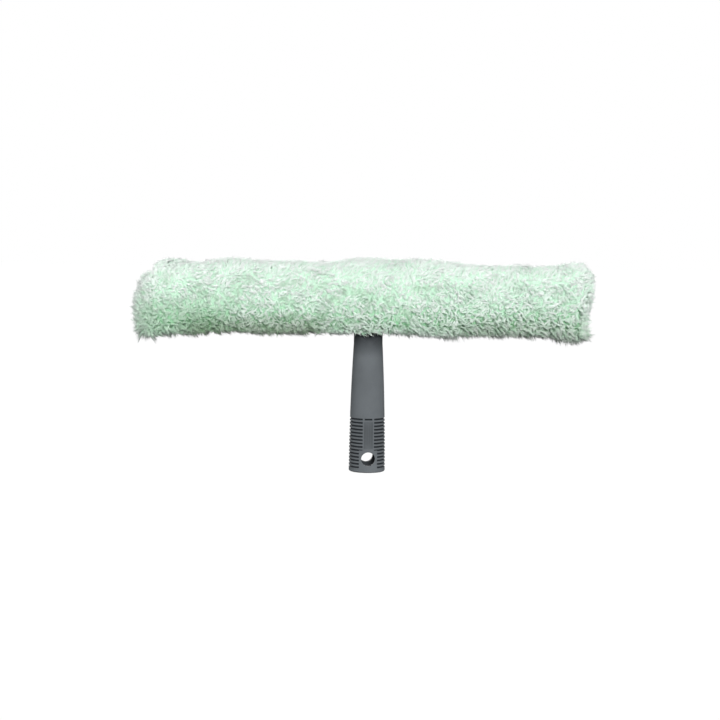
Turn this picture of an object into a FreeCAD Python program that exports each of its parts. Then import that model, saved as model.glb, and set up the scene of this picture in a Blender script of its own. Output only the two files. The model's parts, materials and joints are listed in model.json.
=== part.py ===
import FreeCAD, Part
import math
import os

# A window strip washer: a hollow plastic handle, a crossbar with water wells held in the handle's fork
# by two rivets, and a fleecy wash sleeve drawn over the crossbar. The sleeve is open along its underside,
# where two lips close on each other with hook-and-loop tape, each side of the handle's neck.
# Millimetres. X runs along the crossbar, the front faces -Y, and Z runs up the handle from its mouth.

# Crossbar
bar_length = 332.0          # over both end caps
bar_height = 32.0
bar_depth = 20.0
bar_corner = 5.0            # rounding of the bar's long edges
bar_axis_height = 138.0     # bar's middle above the handle's mouth
web_thickness = 4.0         # plate between the front wells and the back wells
rail_height = 4.5           # solid rail above and below the wells
well_rib = 2.5              # rib between two wells
well_corner = 2.5
well_margin = 4.0           # solid stretch at each end of a row of wells
wells_per_arm = 6

# End caps, which plug into the crossbar
cap_length = 14.0           # part that shows
cap_round = 4.0
spigot_length = 9.0
spigot_height = 20.0
spigot_depth = 11.0
spigot_corner = 2.0

# Handle
mouth_radius = 14.5         # outside, at the open end
neck_radius = 11.5
neck_length = 19.0          # from the top of the taper up to the bar
handle_bulge = 0.7          # how far the side stands out from a straight taper
mouth_round = 1.2
socket_radius = 11.1        # the pole's tip fits in here
socket_depth = 60.0
shoulder_length = 5.0       # cone between the socket and the core
core_radius = 7.0           # hollow above the socket, which keeps the wall even
core_gap = 6.0              # solid stretch between the core and the top of the taper
neck_half_depth = 6.0       # the neck is flattened, front and back
flat_run = 15.0             # height over which it flattens
flat_gap = 2.0              # it is flat from this far below the sleeve
hang_hole_radius = 5.5
hang_hole_height = 11.1
hang_hole_round = 0.6       # rounded edge of the hole

# Grip grooves
groove_count = 15
groove_pitch = 2.75
groove_first = 4.3          # height of the lowest groove
groove_radius = 0.75
hole_pad_width = 14.4       # plain stretch round the hanging hole
hole_pad_top = 18.0

# Plain name plate above the hanging hole, front and back, with a short groove over it
plate_width = 7.2
plate_recess = 0.3
plate_border = 0.9          # between the plate and the ends of the grooves
plate_low = 19.4
short_groove_width = 6.2

# Fork at the top of the handle
fork_length = 56.0
fork_height = 27.0
cheek_thickness = 3.2
bridge_thickness = 4.0      # floor of the fork, under the bar's tongue
fork_corner = 7.0
rivet_spacing = 32.0
rivet_radius = 2.2
rivet_head_radius = 4.2
rivet_head_height = 2.0
fit_gap = 0.1               # between moulded pieces that fit together
rivet_gap = 0.05

# Sleeve cloth
cloth_thickness = 1.2
cloth_gap = 0.4             # between the cloth and the bar, at the sides, the ends and below
rest_gap = 0.3              # between the cloth and the top of the bar
lip_gap = 0.2               # between a lip and the wall that it hangs from
lip_end_gap = 0.5           # between a lip and the end cloths
lap_front = 5.0             # how far the front lip reaches past the middle
lap_back = 7.0              # how far the back lip does
notch_gap = 1.5             # between a lip and the neck
binding_width = 2.0
binding_thickness = 0.7
tape_thickness = 0.8        # hook tape and loop tape are alike
tape_width = 10.0
tape_start = 18.0           # from the middle of the bar
tape_end_gap = 12.0         # between the tape and the lip's end

# Pile, which is the fleece outside the cloth
pile_top = 13.0
pile_bottom = 10.2
pile_side = 13.4
pile_left_end = 19.9
pile_right_end = 11.4
pile_split = 0.3            # gap round the fleece on the lips
pile_corner_share = 0.72    # rounding of the fleece, as a share of its half depth

# The fleece's outline along the bar. Each row is a station as a share of the reach to that end, then
# the fleece at the top, at the bottom and at the sides, as shares of its plain thickness there.
pile_station_shares = [
    (-1.000, -1.62, 0.60, 0.15),
    (-0.985, -0.88, 0.94, 0.55),
    (-0.965, -0.35, 1.10, 0.78),
    (-0.940, 0.06, 1.17, 0.90),
    (-0.915, 0.54, 1.14, 0.96),
    (-0.880, 0.95, 1.06, 1.02),
    (-0.820, 1.03, 0.99, 1.02),
    (-0.640, 1.02, 0.74, 1.00),
    (-0.520, 1.02, 0.77, 0.97),
    (-0.420, 0.92, 0.87, 1.01),
    (-0.320, 0.95, 0.80, 1.00),
    (-0.200, 0.92, 0.77, 0.97),
    (-0.100, 1.07, 0.79, 1.01),
    (0.100, 1.13, 0.91, 1.03),
    (0.260, 1.13, 1.04, 1.00),
    (0.345, 0.99, 1.11, 0.97),
    (0.430, 0.83, 1.06, 1.00),
    (0.600, 0.80, 0.97, 0.96),
    (0.780, 0.77, 1.06, 1.00),
    (0.860, 0.87, 1.34, 1.03),
    (0.910, 1.02, 1.44, 1.05),
    (0.950, 0.93, 1.38, 0.98),
    (0.980, 0.70, 1.25, 0.85),
    (1.000, 0.38, 1.00, 0.50),
]

overrun = 2.0               # how far a cutting shape runs past what it cuts

# Places that follow from the sizes
bar_bottom = bar_axis_height - bar_height / 2
bar_top = bar_axis_height + bar_height / 2
bar_body_half = bar_length / 2 - cap_length
neck_height = bar_bottom - neck_length
core_top = neck_height - core_gap
cheek_inner = bar_depth / 2 - cheek_thickness
rivet_height = bar_bottom + (bridge_thickness + fork_height) / 2

cloth_half_length = bar_length / 2 + cloth_gap
cloth_inner_depth = bar_depth / 2 + cloth_gap
cloth_outer_depth = cloth_inner_depth + cloth_thickness
cloth_inner_top = bar_top + rest_gap
cloth_outer_top = cloth_inner_top + cloth_thickness
cloth_outer_half = cloth_half_length + cloth_thickness

back_lip_top = bar_bottom - cloth_gap
back_lip_bottom = back_lip_top - cloth_thickness
loop_tape_bottom = back_lip_bottom - tape_thickness
front_lip_top = loop_tape_bottom - tape_thickness
front_lip_bottom = front_lip_top - cloth_thickness
lip_half_length = cloth_half_length - lip_end_gap

tape_length = lip_half_length - tape_end_gap - tape_start
flat_end = front_lip_bottom - binding_thickness - flat_gap
flat_start = flat_end - flat_run

notch_half_length = neck_radius + notch_gap
notch_half_depth = neck_half_depth + notch_gap
pile_notch_half = notch_half_length + binding_width + pile_split

V = FreeCAD.Vector


def box(x_low, x_high, y_low, y_high, z_low, z_high):
    """Block between two corners."""
    return Part.makeBox(x_high - x_low, y_high - y_low, z_high - z_low, V(x_low, y_low, z_low))


def rounded_wire(u_low, u_high, v_low, v_high, corner, place):
    """Rectangle with four round corners. place(u, v) gives the point in space."""
    bevel = corner * (1 - math.cos(math.pi / 4))
    corners = [
        ((u_high - corner, v_low), (u_high - bevel, v_low + bevel), (u_high, v_low + corner)),
        ((u_high, v_high - corner), (u_high - bevel, v_high - bevel), (u_high - corner, v_high)),
        ((u_low + corner, v_high), (u_low + bevel, v_high - bevel), (u_low, v_high - corner)),
        ((u_low, v_low + corner), (u_low + bevel, v_low + bevel), (u_low + corner, v_low)),
    ]
    edges = []
    previous = corners[-1][2]
    for start, middle, end in corners:
        edges.append(Part.makeLine(place(*previous), place(*start)))
        edges.append(Part.Arc(place(*start), place(*middle), place(*end)).toShape())
        previous = end
    return Part.Wire(edges)


def bar_prism(x_low, x_high, grow=0.0):
    """Stretch of the bar's own section, grown outwards by grow."""
    wire = rounded_wire(
        -bar_depth / 2 - grow,
        bar_depth / 2 + grow,
        bar_bottom - grow,
        bar_top + grow,
        bar_corner + grow,
        lambda y, z: V(x_low, y, z),
    )
    return Part.Face(wire).extrude(V(x_high - x_low, 0, 0))


def window_prism(x_low, x_high, z_low, z_high, corner, y_low, y_high):
    """Block with its four edges along Y rounded."""
    wire = rounded_wire(x_low, x_high, z_low, z_high, corner, lambda x, z: V(x, y_low, z))
    return Part.Face(wire).extrude(V(0, y_high - y_low, 0))


def outline_prism(points, x_low, x_high):
    """Straight-sided outline given as (y, z) points, drawn out along X."""
    wire = Part.makePolygon([V(x_low, y, z) for y, z in points + points[:1]])
    return Part.Face(wire).extrude(V(x_high - x_low, 0, 0))


# Handle

side_slope = math.atan2(mouth_radius - neck_radius, neck_height)
side_middle = V(
    (mouth_radius + neck_radius) / 2 + handle_bulge * math.cos(side_slope),
    0,
    neck_height / 2 + handle_bulge * math.sin(side_slope),
)
side_edge = Part.Arc(V(mouth_radius, 0, 0), side_middle, V(neck_radius, 0, neck_height)).toShape()
side_circle = side_edge.Curve


def handle_radius(height):
    """Outside radius of the handle's taper at a height."""
    rise = height - side_circle.Center.z
    return side_circle.Center.x + math.sqrt(side_circle.Radius ** 2 - rise ** 2)


def handle_tube():
    """Turned part of the handle, with the pole's socket and the core above it."""
    round_top = V(handle_radius(mouth_round), 0, mouth_round)
    round_foot = V(round_top.x - mouth_round, 0, 0)
    bevel = mouth_round * (1 - math.cos(math.pi / 4))
    round_middle = V(round_top.x - bevel, 0, bevel)
    middle_height = (mouth_round + neck_height) / 2
    shoulder_top = socket_depth + shoulder_length
    side = Part.Arc(
        round_top,
        V(handle_radius(middle_height), 0, middle_height),
        V(neck_radius, 0, neck_height),
    )
    corners = [
        V(neck_radius, 0, neck_height),
        V(neck_radius, 0, bar_bottom + bridge_thickness / 2),
        V(0, 0, bar_bottom + bridge_thickness / 2),
        V(0, 0, core_top),
        V(core_radius, 0, core_top),
        V(core_radius, 0, shoulder_top),
        V(socket_radius, 0, socket_depth),
        V(socket_radius, 0, 0),
        round_foot,
    ]
    edges = [Part.Arc(round_foot, round_middle, round_top).toShape(), side.toShape()]
    for start, end in zip(corners, corners[1:]):
        edges.append(Part.makeLine(start, end))
    face = Part.Face(Part.Wire(edges))
    return face.revolve(V(0, 0, 0), V(0, 0, 1), 360)


def neck_limits():
    """What is left of the handle between the neck's two flats, seen from the side."""
    wide = mouth_radius + overrun
    start_depth = handle_radius(flat_start)
    middle = (flat_start + flat_end) / 2
    top = bar_bottom + bridge_thickness

    def half(sign):
        curve = Part.BezierCurve()
        curve.setPoles([
            V(0, sign * start_depth, flat_start),
            V(0, sign * start_depth, middle),
            V(0, sign * neck_half_depth, middle),
            V(0, sign * neck_half_depth, flat_end),
        ])
        return [
            Part.makeLine(V(0, sign * wide, -overrun), V(0, sign * wide, flat_start)),
            Part.makeLine(V(0, sign * wide, flat_start), V(0, sign * start_depth, flat_start)),
            curve.toShape(),
            Part.makeLine(V(0, sign * neck_half_depth, flat_end), V(0, sign * neck_half_depth, top)),
        ]

    ends = [
        Part.makeLine(V(0, -neck_half_depth, top), V(0, neck_half_depth, top)),
        Part.makeLine(V(0, -wide, -overrun), V(0, wide, -overrun)),
    ]
    edges = half(-1) + half(1) + ends
    face = Part.Face(Part.Wire(Part.__sortEdges__(edges)))
    face.translate(V(-wide, 0, 0))
    return face.extrude(V(2 * wide, 0, 0))


def grip_grooves():
    """Grooves round the grip, kept off the plain stretches at its front and back."""
    rings = []
    for i in range(groove_count):
        height = groove_first + i * groove_pitch
        rings.append(Part.makeTorus(handle_radius(height), groove_radius, V(0, 0, height)))
    below_last = groove_first + (groove_count - 1.5) * groove_pitch
    above_last = below_last + groove_pitch
    wide = mouth_radius + overrun
    hole_half = hole_pad_width / 2
    short_half = short_groove_width / 2
    plate_half = plate_width / 2 + plate_border
    plain = [
        box(-hole_half, hole_half, -wide, wide, -overrun, hole_pad_top),
        box(-plate_half, plate_half, -wide, wide, 0, below_last),
        box(-plate_half, -short_half, -wide, wide, 0, above_last),
        box(short_half, plate_half, -wide, wide, 0, above_last),
    ]
    return Part.makeCompound(rings).cut(plain)


def plate_recesses():
    """Shallow sunk field of the name plates, below the short groove over them."""
    half = plate_width / 2
    wide = mouth_radius + overrun
    high = groove_first + (groove_count - 2) * groove_pitch + groove_radius
    field = box(-half, half, -wide, wide, plate_low, high)
    core = Part.makeCone(
        handle_radius(plate_low) - plate_recess,
        handle_radius(high) - plate_recess,
        high - plate_low,
        V(0, 0, plate_low),
    )
    return field.cut(core)


def hang_hole():
    """Hole across the grip, flared where it meets the outside."""
    reach = mouth_radius + overrun
    hole = Part.makeCylinder(
        hang_hole_radius, 2 * reach, V(0, -reach, hang_hole_height), V(0, 1, 0)
    )
    surface = math.sqrt(handle_radius(hang_hole_height) ** 2 - hang_hole_radius ** 2)
    flares = []
    for sign in (-1, 1):
        flares.append(Part.makeCone(
            hang_hole_radius,
            hang_hole_radius + overrun,
            overrun,
            V(0, sign * (surface + hang_hole_round), hang_hole_height),
            V(0, sign, 0),
        ))
    return hole.fuse(flares)


def fork():
    """Head that clasps the bar: a floor, and a cheek at the front and back."""
    half = fork_length / 2
    top = bar_bottom + fork_height
    window = window_prism(
        -half,
        half,
        bar_bottom - fork_corner - overrun,
        top,
        fork_corner,
        -bar_depth,
        bar_depth,
    )
    block = bar_prism(-half, half).common(window)
    slot = box(
        -half - overrun,
        half + overrun,
        -cheek_inner,
        cheek_inner,
        bar_bottom + bridge_thickness,
        top + overrun,
    )
    return block.cut(slot)


def rivet_profile(grow):
    """Half outline of a rivet whose two heads lie flush in the cheeks, grown by grow."""
    half = bar_depth / 2
    head = rivet_head_radius + grow
    shank = rivet_radius + grow
    neck = half - rivet_head_height
    points = [(0, -half), (head, -half), (shank, -neck), (shank, neck), (head, half), (0, half)]
    return Part.Face(Part.makePolygon([V(x, y, 0) for x, y in points + points[:1]]))


def rivets(grow=0.0):
    """The two rivets through the fork and the bar, or their holes."""
    made = []
    for side in (-1, 1):
        rivet = rivet_profile(grow).revolve(V(0, 0, 0), V(0, 1, 0), 360)
        rivet.translate(V(side * rivet_spacing / 2, 0, rivet_height))
        made.append(rivet)
    return made


def handle():
    shape = handle_tube().common(neck_limits()).fuse(fork())
    shape = shape.cut(rivets(rivet_gap))
    shape = shape.cut(grip_grooves())
    return shape.cut([plate_recesses(), hang_hole()])


# Crossbar and its caps

def wells():
    """Water wells, a row in the front face and in the back face of each arm."""
    start = fork_length / 2 + well_margin
    end = bar_body_half - spigot_length - well_margin
    width = (end - start - (wells_per_arm - 1) * well_rib) / wells_per_arm
    low = bar_bottom + rail_height
    high = bar_top - rail_height
    made = []
    for arm in (-1, 1):
        for i in range(wells_per_arm):
            near = start + i * (width + well_rib)
            x_low, x_high = sorted((arm * near, arm * (near + width)))
            for face in (-1, 1):
                y_low, y_high = sorted((face * web_thickness / 2, face * (bar_depth / 2 + overrun)))
                made.append(window_prism(x_low, x_high, low, high, well_corner, y_low, y_high))
    return made


def fork_seat():
    """What the fork takes out of the bar, with its fitting gap."""
    half = fork_length / 2 + fit_gap
    top = bar_bottom + fork_height + fit_gap
    below = bar_bottom - fork_corner - overrun
    floor_top = bar_bottom + bridge_thickness + fit_gap
    outside = bar_depth / 2 + overrun
    front = window_prism(-half, half, below, top, fork_corner, -outside, fit_gap - cheek_inner)
    back = window_prism(-half, half, below, top, fork_corner, cheek_inner - fit_gap, outside)
    floor = box(-half, half, -outside, outside, below, floor_top)
    return [front, back, floor]


def spigot(x_inner, x_outer, gap):
    """Rounded plug on a cap, or its pocket in the bar, between two places along X."""
    wire = rounded_wire(
        -spigot_depth / 2 - gap,
        spigot_depth / 2 + gap,
        bar_axis_height - spigot_height / 2 - gap,
        bar_axis_height + spigot_height / 2 + gap,
        spigot_corner,
        lambda y, z: V(x_inner, y, z),
    )
    return Part.Face(wire).extrude(V(x_outer - x_inner, 0, 0))


def crossbar():
    bar = bar_prism(-bar_body_half, bar_body_half)
    pockets = []
    for side in (-1, 1):
        bottom = side * (bar_body_half - spigot_length - fit_gap)
        mouth = side * (bar_body_half + overrun)
        pockets.append(spigot(bottom, mouth, fit_gap))
    return bar.cut(wells() + fork_seat() + pockets + rivets(rivet_gap)).removeSplitter()


def end_cap(side):
    """Rounded cap on one end of the bar, with its plug."""
    inner = side * bar_body_half
    outer = side * bar_length / 2
    body = bar_prism(*sorted((inner, outer)))
    rim = [e for e in body.Edges if abs(e.BoundBox.XMin - outer) + abs(e.BoundBox.XMax - outer) < fit_gap]
    body = body.makeFillet(min(cap_round, 0.8 * bar_corner), rim)
    return body.fuse(spigot(side * (bar_body_half - spigot_length), inner, 0)).removeSplitter()


# Sleeve cloth

def arch_prism(x_low, x_high, half_depth, z_low, z_high, corner):
    """Upright section with only its two top edges rounded."""
    bevel = corner * (1 - math.cos(math.pi / 4))

    def at(y, z):
        return V(x_low, y, z)

    shoulder = z_high - corner
    flat = half_depth - corner
    edges = [
        Part.makeLine(at(-half_depth, z_low), at(half_depth, z_low)),
        Part.makeLine(at(half_depth, z_low), at(half_depth, shoulder)),
        Part.Arc(at(half_depth, shoulder), at(half_depth - bevel, z_high - bevel), at(flat, z_high)).toShape(),
        Part.makeLine(at(flat, z_high), at(-flat, z_high)),
        Part.Arc(at(-flat, z_high), at(bevel - half_depth, z_high - bevel), at(-half_depth, shoulder)).toShape(),
        Part.makeLine(at(-half_depth, shoulder), at(-half_depth, z_low)),
    ]
    return Part.Face(Part.Wire(edges)).extrude(V(x_high - x_low, 0, 0))


def cloth_outside(x_low, x_high, z_low):
    """Everything inside the cloth's outer face, down to a height."""
    corner = bar_corner + cloth_gap + cloth_thickness
    return arch_prism(x_low, x_high, cloth_outer_depth, z_low, cloth_outer_top, corner)


def sleeve_cloth():
    """Cloth over the bar's front, top and back, open below."""
    half = cloth_half_length
    low = front_lip_top + lip_gap
    outside = cloth_outside(-half, half, low)
    inside = arch_prism(
        -half - overrun,
        half + overrun,
        cloth_inner_depth,
        low - overrun,
        cloth_inner_top,
        bar_corner + cloth_gap,
    )
    back_edge = box(-half, half, 0, bar_depth, low - overrun, back_lip_top + lip_gap)
    return outside.cut([inside, back_edge])


def end_cloth(side):
    """Flat piece of cloth sewn across one end."""
    x_low, x_high = sorted((side * cloth_half_length, side * cloth_outer_half))
    return cloth_outside(x_low, x_high, front_lip_bottom)


def notch(grow, z_low, z_high):
    """Room for the neck in the lips, grown outwards by grow."""
    half_length = notch_half_length + grow
    half_depth = notch_half_depth + grow
    wire = rounded_wire(
        -half_length, half_length, -half_depth, half_depth, neck_half_depth, lambda x, y: V(x, y, z_low)
    )
    return Part.Face(wire).extrude(V(0, 0, z_high - z_low))


def lip_cloth(y_low, y_high, z_low):
    """One lip of cloth under the bar, cut out round the neck."""
    plate = box(-lip_half_length, lip_half_length, y_low, y_high, z_low, z_low + cloth_thickness)
    return plate.cut(notch(0, z_low - overrun, z_low + cloth_thickness + overrun))


def neck_binding(y_low, y_high, z_low):
    """Tape that binds the edge of a lip round the neck."""
    band = notch(binding_width, z_low, z_low + binding_thickness)
    band = band.cut(notch(0, z_low - overrun, z_low + binding_thickness + overrun))
    reach = notch_half_length + binding_width + overrun
    limits = box(-reach, reach, y_low, y_high, z_low - overrun, z_low + binding_thickness + overrun)
    return band.common(limits)


def tape(side, z_low):
    """Strip of hook or loop tape on one arm."""
    x_low, x_high = sorted((side * tape_start, side * (tape_start + tape_length)))
    middle = (lap_front - lap_back) / 2
    return box(x_low, x_high, middle - tape_width / 2, middle + tape_width / 2, z_low, z_low + tape_thickness)


# Fleece

def pile_section(x, top, bottom, side):
    """Outline of the fleece across the bar, with its thickness at the top, bottom and sides."""
    half_depth = cloth_outer_depth + side
    return rounded_wire(
        -half_depth,
        half_depth,
        front_lip_bottom - bottom,
        cloth_outer_top + top,
        pile_corner_share * half_depth,
        lambda y, z: V(x, y, z),
    )


def pile_body():
    """Whole outside of the fleece."""
    wires = []
    for station, top, bottom, side in pile_station_shares:
        reach = cloth_outer_half + (pile_left_end if station < 0 else pile_right_end)
        wires.append(pile_section(station * reach, top * pile_top, bottom * pile_bottom, side * pile_side))
    return Part.makeLoft(wires, True)


def pile_panels():
    """The fleece round the cloth, cut into the panels that the sleeve is made of."""
    body = pile_body()
    half = cloth_outer_half
    far = bar_length
    above = cloth_outer_top + far
    below = front_lip_bottom - far
    corner = bar_corner + cloth_gap + cloth_thickness
    seam_depth = cloth_outer_depth - corner
    seam_height = cloth_outer_top - corner
    spread = above - seam_height
    core = cloth_outside(-half, half, below)
    top = outline_prism(
        [
            (-seam_depth, seam_height),
            (-seam_depth - spread, above),
            (seam_depth + spread, above),
            (seam_depth, seam_height),
        ],
        -half,
        half,
    )

    def side_panel(sign):
        return outline_prism(
            [
                (sign * seam_depth, seam_height),
                (sign * (seam_depth + spread), above),
                (sign * (seam_depth + spread), below),
                (sign * seam_depth, below),
            ],
            -half,
            half,
        )

    def under(y_low, y_high, z_high):
        """Fleece under one lip, on both sides of the neck."""
        inner = pile_notch_half
        outer = lip_half_length
        return body.common([
            box(-outer, -inner, y_low, y_high, below, z_high),
            box(inner, outer, y_low, y_high, below, z_high),
        ])

    return {
        "top_pile": body.common(top).cut(core),
        "front_pile": body.common(side_panel(-1)).cut(core),
        "back_pile": body.common(side_panel(1)).cut(core),
        "left_end_pile": body.common(box(-far, -half, -far, far, below, above)),
        "right_end_pile": body.common(box(half, far, -far, far, below, above)),
        "front_lip_pile": under(pile_split - cloth_outer_depth, lap_front, front_lip_bottom),
        "back_lip_pile": under(lap_front + pile_split, cloth_outer_depth - pile_split, back_lip_bottom),
    }


def all_parts():
    parts = {
        "handle": handle(),
        "crossbar": crossbar(),
        "left_end_cap": end_cap(-1),
        "right_end_cap": end_cap(1),
        "bar_rivets": Part.makeCompound(rivets()),
        "sleeve_cloth": sleeve_cloth(),
        "left_end_cloth": end_cloth(-1),
        "right_end_cloth": end_cloth(1),
        "front_lip_cloth": lip_cloth(-cloth_outer_depth, lap_front, front_lip_bottom),
        "back_lip_cloth": lip_cloth(-lap_back, cloth_outer_depth, back_lip_bottom),
        "front_neck_binding": neck_binding(
            -cloth_outer_depth, lap_front, front_lip_bottom - binding_thickness
        ),
        "back_neck_binding": neck_binding(
            -lap_back, cloth_outer_depth, back_lip_bottom - binding_thickness
        ),
        "left_hook_tape": tape(-1, front_lip_top),
        "right_hook_tape": tape(1, front_lip_top),
        "left_loop_tape": tape(-1, loop_tape_bottom),
        "right_loop_tape": tape(1, loop_tape_bottom),
    }
    parts.update(pile_panels())
    return parts


os.makedirs("parts", exist_ok=True)
for name, shape in all_parts().items():
    print(name, len(shape.Solids), "solids", round(shape.Volume), "mm3", shape.isValid())
    shape.exportStep(f"parts/{name}.step")
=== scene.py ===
# %% [markdown]
# # A window strip washer
# A window cleaner wets the glass with this tool. A fleecy microfibre sleeve is drawn over a crossbar,
# and a tapered plastic handle carries the bar in its fork.
# The construction comes ready made as a frame: every piece at its real size and in its place.
# This script dresses that frame. Nothing rigid is moved or resized, and everything soft is made anew.

# %% Load the frame
import json
import math

import bmesh
import bpy
from mathutils import Matrix, Vector
from mathutils import noise as waves

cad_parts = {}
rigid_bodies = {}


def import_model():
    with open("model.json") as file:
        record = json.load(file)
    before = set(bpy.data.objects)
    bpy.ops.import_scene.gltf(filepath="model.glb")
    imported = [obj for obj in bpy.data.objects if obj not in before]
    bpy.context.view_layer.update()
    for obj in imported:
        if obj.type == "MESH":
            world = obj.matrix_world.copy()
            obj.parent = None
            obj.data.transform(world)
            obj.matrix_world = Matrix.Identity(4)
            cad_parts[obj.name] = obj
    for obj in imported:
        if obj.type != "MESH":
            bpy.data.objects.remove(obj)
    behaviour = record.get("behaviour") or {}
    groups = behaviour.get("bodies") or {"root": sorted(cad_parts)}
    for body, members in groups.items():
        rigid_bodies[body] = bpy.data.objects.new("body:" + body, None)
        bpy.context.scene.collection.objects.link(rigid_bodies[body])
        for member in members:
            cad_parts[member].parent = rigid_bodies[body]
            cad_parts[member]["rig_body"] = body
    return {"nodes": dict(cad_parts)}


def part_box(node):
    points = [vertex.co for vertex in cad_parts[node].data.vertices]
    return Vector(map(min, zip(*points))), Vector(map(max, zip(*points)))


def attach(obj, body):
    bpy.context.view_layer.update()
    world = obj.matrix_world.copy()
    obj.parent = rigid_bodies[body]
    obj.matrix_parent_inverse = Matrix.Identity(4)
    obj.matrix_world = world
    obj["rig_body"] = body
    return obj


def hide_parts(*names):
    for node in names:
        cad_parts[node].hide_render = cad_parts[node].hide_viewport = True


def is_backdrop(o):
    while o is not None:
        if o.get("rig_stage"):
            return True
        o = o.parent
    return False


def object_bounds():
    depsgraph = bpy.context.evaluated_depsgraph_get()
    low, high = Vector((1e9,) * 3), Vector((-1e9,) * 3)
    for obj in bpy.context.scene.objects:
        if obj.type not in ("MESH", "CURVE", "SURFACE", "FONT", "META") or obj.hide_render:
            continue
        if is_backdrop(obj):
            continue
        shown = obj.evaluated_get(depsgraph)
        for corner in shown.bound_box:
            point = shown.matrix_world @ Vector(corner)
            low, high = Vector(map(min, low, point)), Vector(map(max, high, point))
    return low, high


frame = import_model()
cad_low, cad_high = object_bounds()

nodes = frame["nodes"]
MM = 0.001
print("size in mm:", [round(side / MM) for side in cad_high - cad_low])

# %% [markdown]
# ## Building node trees in a script
# Materials and Geometry Nodes are both trees of nodes, and a sum in them takes a node for every step.
# To keep such sums readable, an output is wrapped in a small class here, the Wire. Wires are added,
# multiplied and compared like numbers or arrows, and each such step adds and links the node that does it.

# %% Helpers for any node tree
class Wire:
    """An output of a node. Arithmetic with it adds the nodes that do the arithmetic."""

    def __init__(self, socket):
        self.socket, self.tree = socket, socket.id_data

    def __add__(self, other):
        return step("ADD", self, other)

    def __sub__(self, other):
        return step("SUBTRACT", self, other)

    def __rsub__(self, other):
        return step("SUBTRACT", other, self)

    def __mul__(self, other):
        return step("MULTIPLY", self, other)

    def __truediv__(self, other):
        return step("DIVIDE", self, other)

    def __rtruediv__(self, other):
        return step("DIVIDE", other, self)

    def __pow__(self, other):
        return step("POWER", self, other)

    def __lt__(self, other):
        return step("LESS_THAN", self, other)

    def __gt__(self, other):
        return step("GREATER_THAN", self, other)

    def __abs__(self):
        return step("ABSOLUTE", self)

    def axis(self, name):
        """One of an arrow's three numbers."""
        return out(self.tree, "ShaderNodeSeparateXYZ", {0: self}, name)

    def clamped(self):
        """The same number, held between 0 and 1 by the node that makes it."""
        self.socket.node.use_clamp = True
        return self


def add(tree, kind, inputs=None, **settings):
    """Adds a node. inputs maps its sockets to values or to wires."""
    node = tree.nodes.new(kind)
    for name, value in settings.items():
        setattr(node, name, value)
    for key, value in (inputs or {}).items():
        if isinstance(value, Wire):
            tree.links.new(value.socket, node.inputs[key])
        else:
            node.inputs[key].default_value = value
    return node


def out(tree, kind, inputs=None, output=0, **settings):
    """Adds a node and returns one of its outputs as a wire."""
    return Wire(add(tree, kind, inputs, **settings).outputs[output])


def is_arrow(value):
    return isinstance(value, tuple) or isinstance(value, Wire) and value.socket.type in ("VECTOR", "RGBA")


def tree_of(values):
    return next(value.tree for value in values if isinstance(value, Wire))


def step(operation, *values):
    """One step of arithmetic, on numbers or on arrows. An arrow times a number is scaled by it."""
    kinds, inputs = [is_arrow(value) for value in values], dict(enumerate(values))
    if not any(kinds):
        return out(tree_of(values), "ShaderNodeMath", inputs, operation=operation)
    if operation == "MULTIPLY" and not all(kinds):
        arrow, scale = sorted(values, key=is_arrow, reverse=True)
        return out(tree_of(values), "ShaderNodeVectorMath", {0: arrow, "Scale": scale}, operation="SCALE")
    result = "Value" if operation in ("DOT_PRODUCT", "LENGTH", "DISTANCE") else "Vector"
    return out(tree_of(values), "ShaderNodeVectorMath", inputs, result, operation=operation)


def between(share, low, high):
    """From one number to another, by a share from 0 to 1."""
    return share * (high - low) + low


def share_along(point, axis, start, end):
    """0 up to one place along an axis, 1 from another place on, and even between them."""
    return ((point.axis(axis) - start) / (end - start)).clamped()


def noise(point, scale, detail=2.0, roughness=0.5, output=0):
    """Smooth noise with so many waves per metre: its number or, as output 1, its colour."""
    inputs = {"Vector": point, "Scale": scale, "Detail": detail, "Roughness": roughness}
    return out(point.tree, "ShaderNodeTexNoise", inputs, output)


print("helpers for node trees ready")

# %% [markdown]
# ## Building materials
# Every finish here starts from one Principled shader and gets its colour, its roughness and its relief
# from noise. The noise is laid on the piece's own coordinates, so it stays put when the tool is turned.

# %% Helpers for materials
def new_material(name, roughness, specular=0.5, metallic=0.0):
    """A material with one Principled shader. Returns the material, its tree and its shader."""
    material = bpy.data.materials.new(name)
    material.use_nodes = True
    shader = material.node_tree.nodes["Principled BSDF"]
    shader.inputs["Roughness"].default_value = roughness
    shader.inputs["Specular IOR Level"].default_value = specular
    shader.inputs["Metallic"].default_value = metallic
    return material, material.node_tree, shader


def connect(shader, name, wire):
    wire.tree.links.new(wire.socket, shader.inputs[name])


def colour_mix(share, low, high, blend="MIX"):
    """Mixes two colours by a share from 0 to 1. The node's sockets for colours are numbers 6 and 7."""
    inputs = {0: share, 6: low, 7: high}
    return out(tree_of((share, low, high)), "ShaderNodeMix", inputs, 2, data_type="RGBA", blend_type=blend)


def colour_ramp(value, *stops):
    """Turns a number into a colour. stops are pairs of place and colour."""
    ramp = add(value.tree, "ShaderNodeValToRGB", {0: value})
    while len(ramp.color_ramp.elements) < len(stops):
        ramp.color_ramp.elements.new(0.5)
    for element, (place, colour) in zip(ramp.color_ramp.elements, stops):
        element.position = place
        element.color = (*colour, 1.0)
    return Wire(ramp.outputs["Color"])


def object_point(tree):
    """The point being shaded, in metres on the piece itself."""
    return out(tree, "ShaderNodeTexCoord", output="Object")


def bump(shader, height, depth, strength=1.0):
    """Roughens the surface by a height from 0 to 1, with so many metres between them."""
    inputs = {"Height": height, "Distance": depth, "Strength": strength}
    connect(shader, "Normal", out(height.tree, "ShaderNodeBump", inputs))


print("helpers for materials ready")

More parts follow.
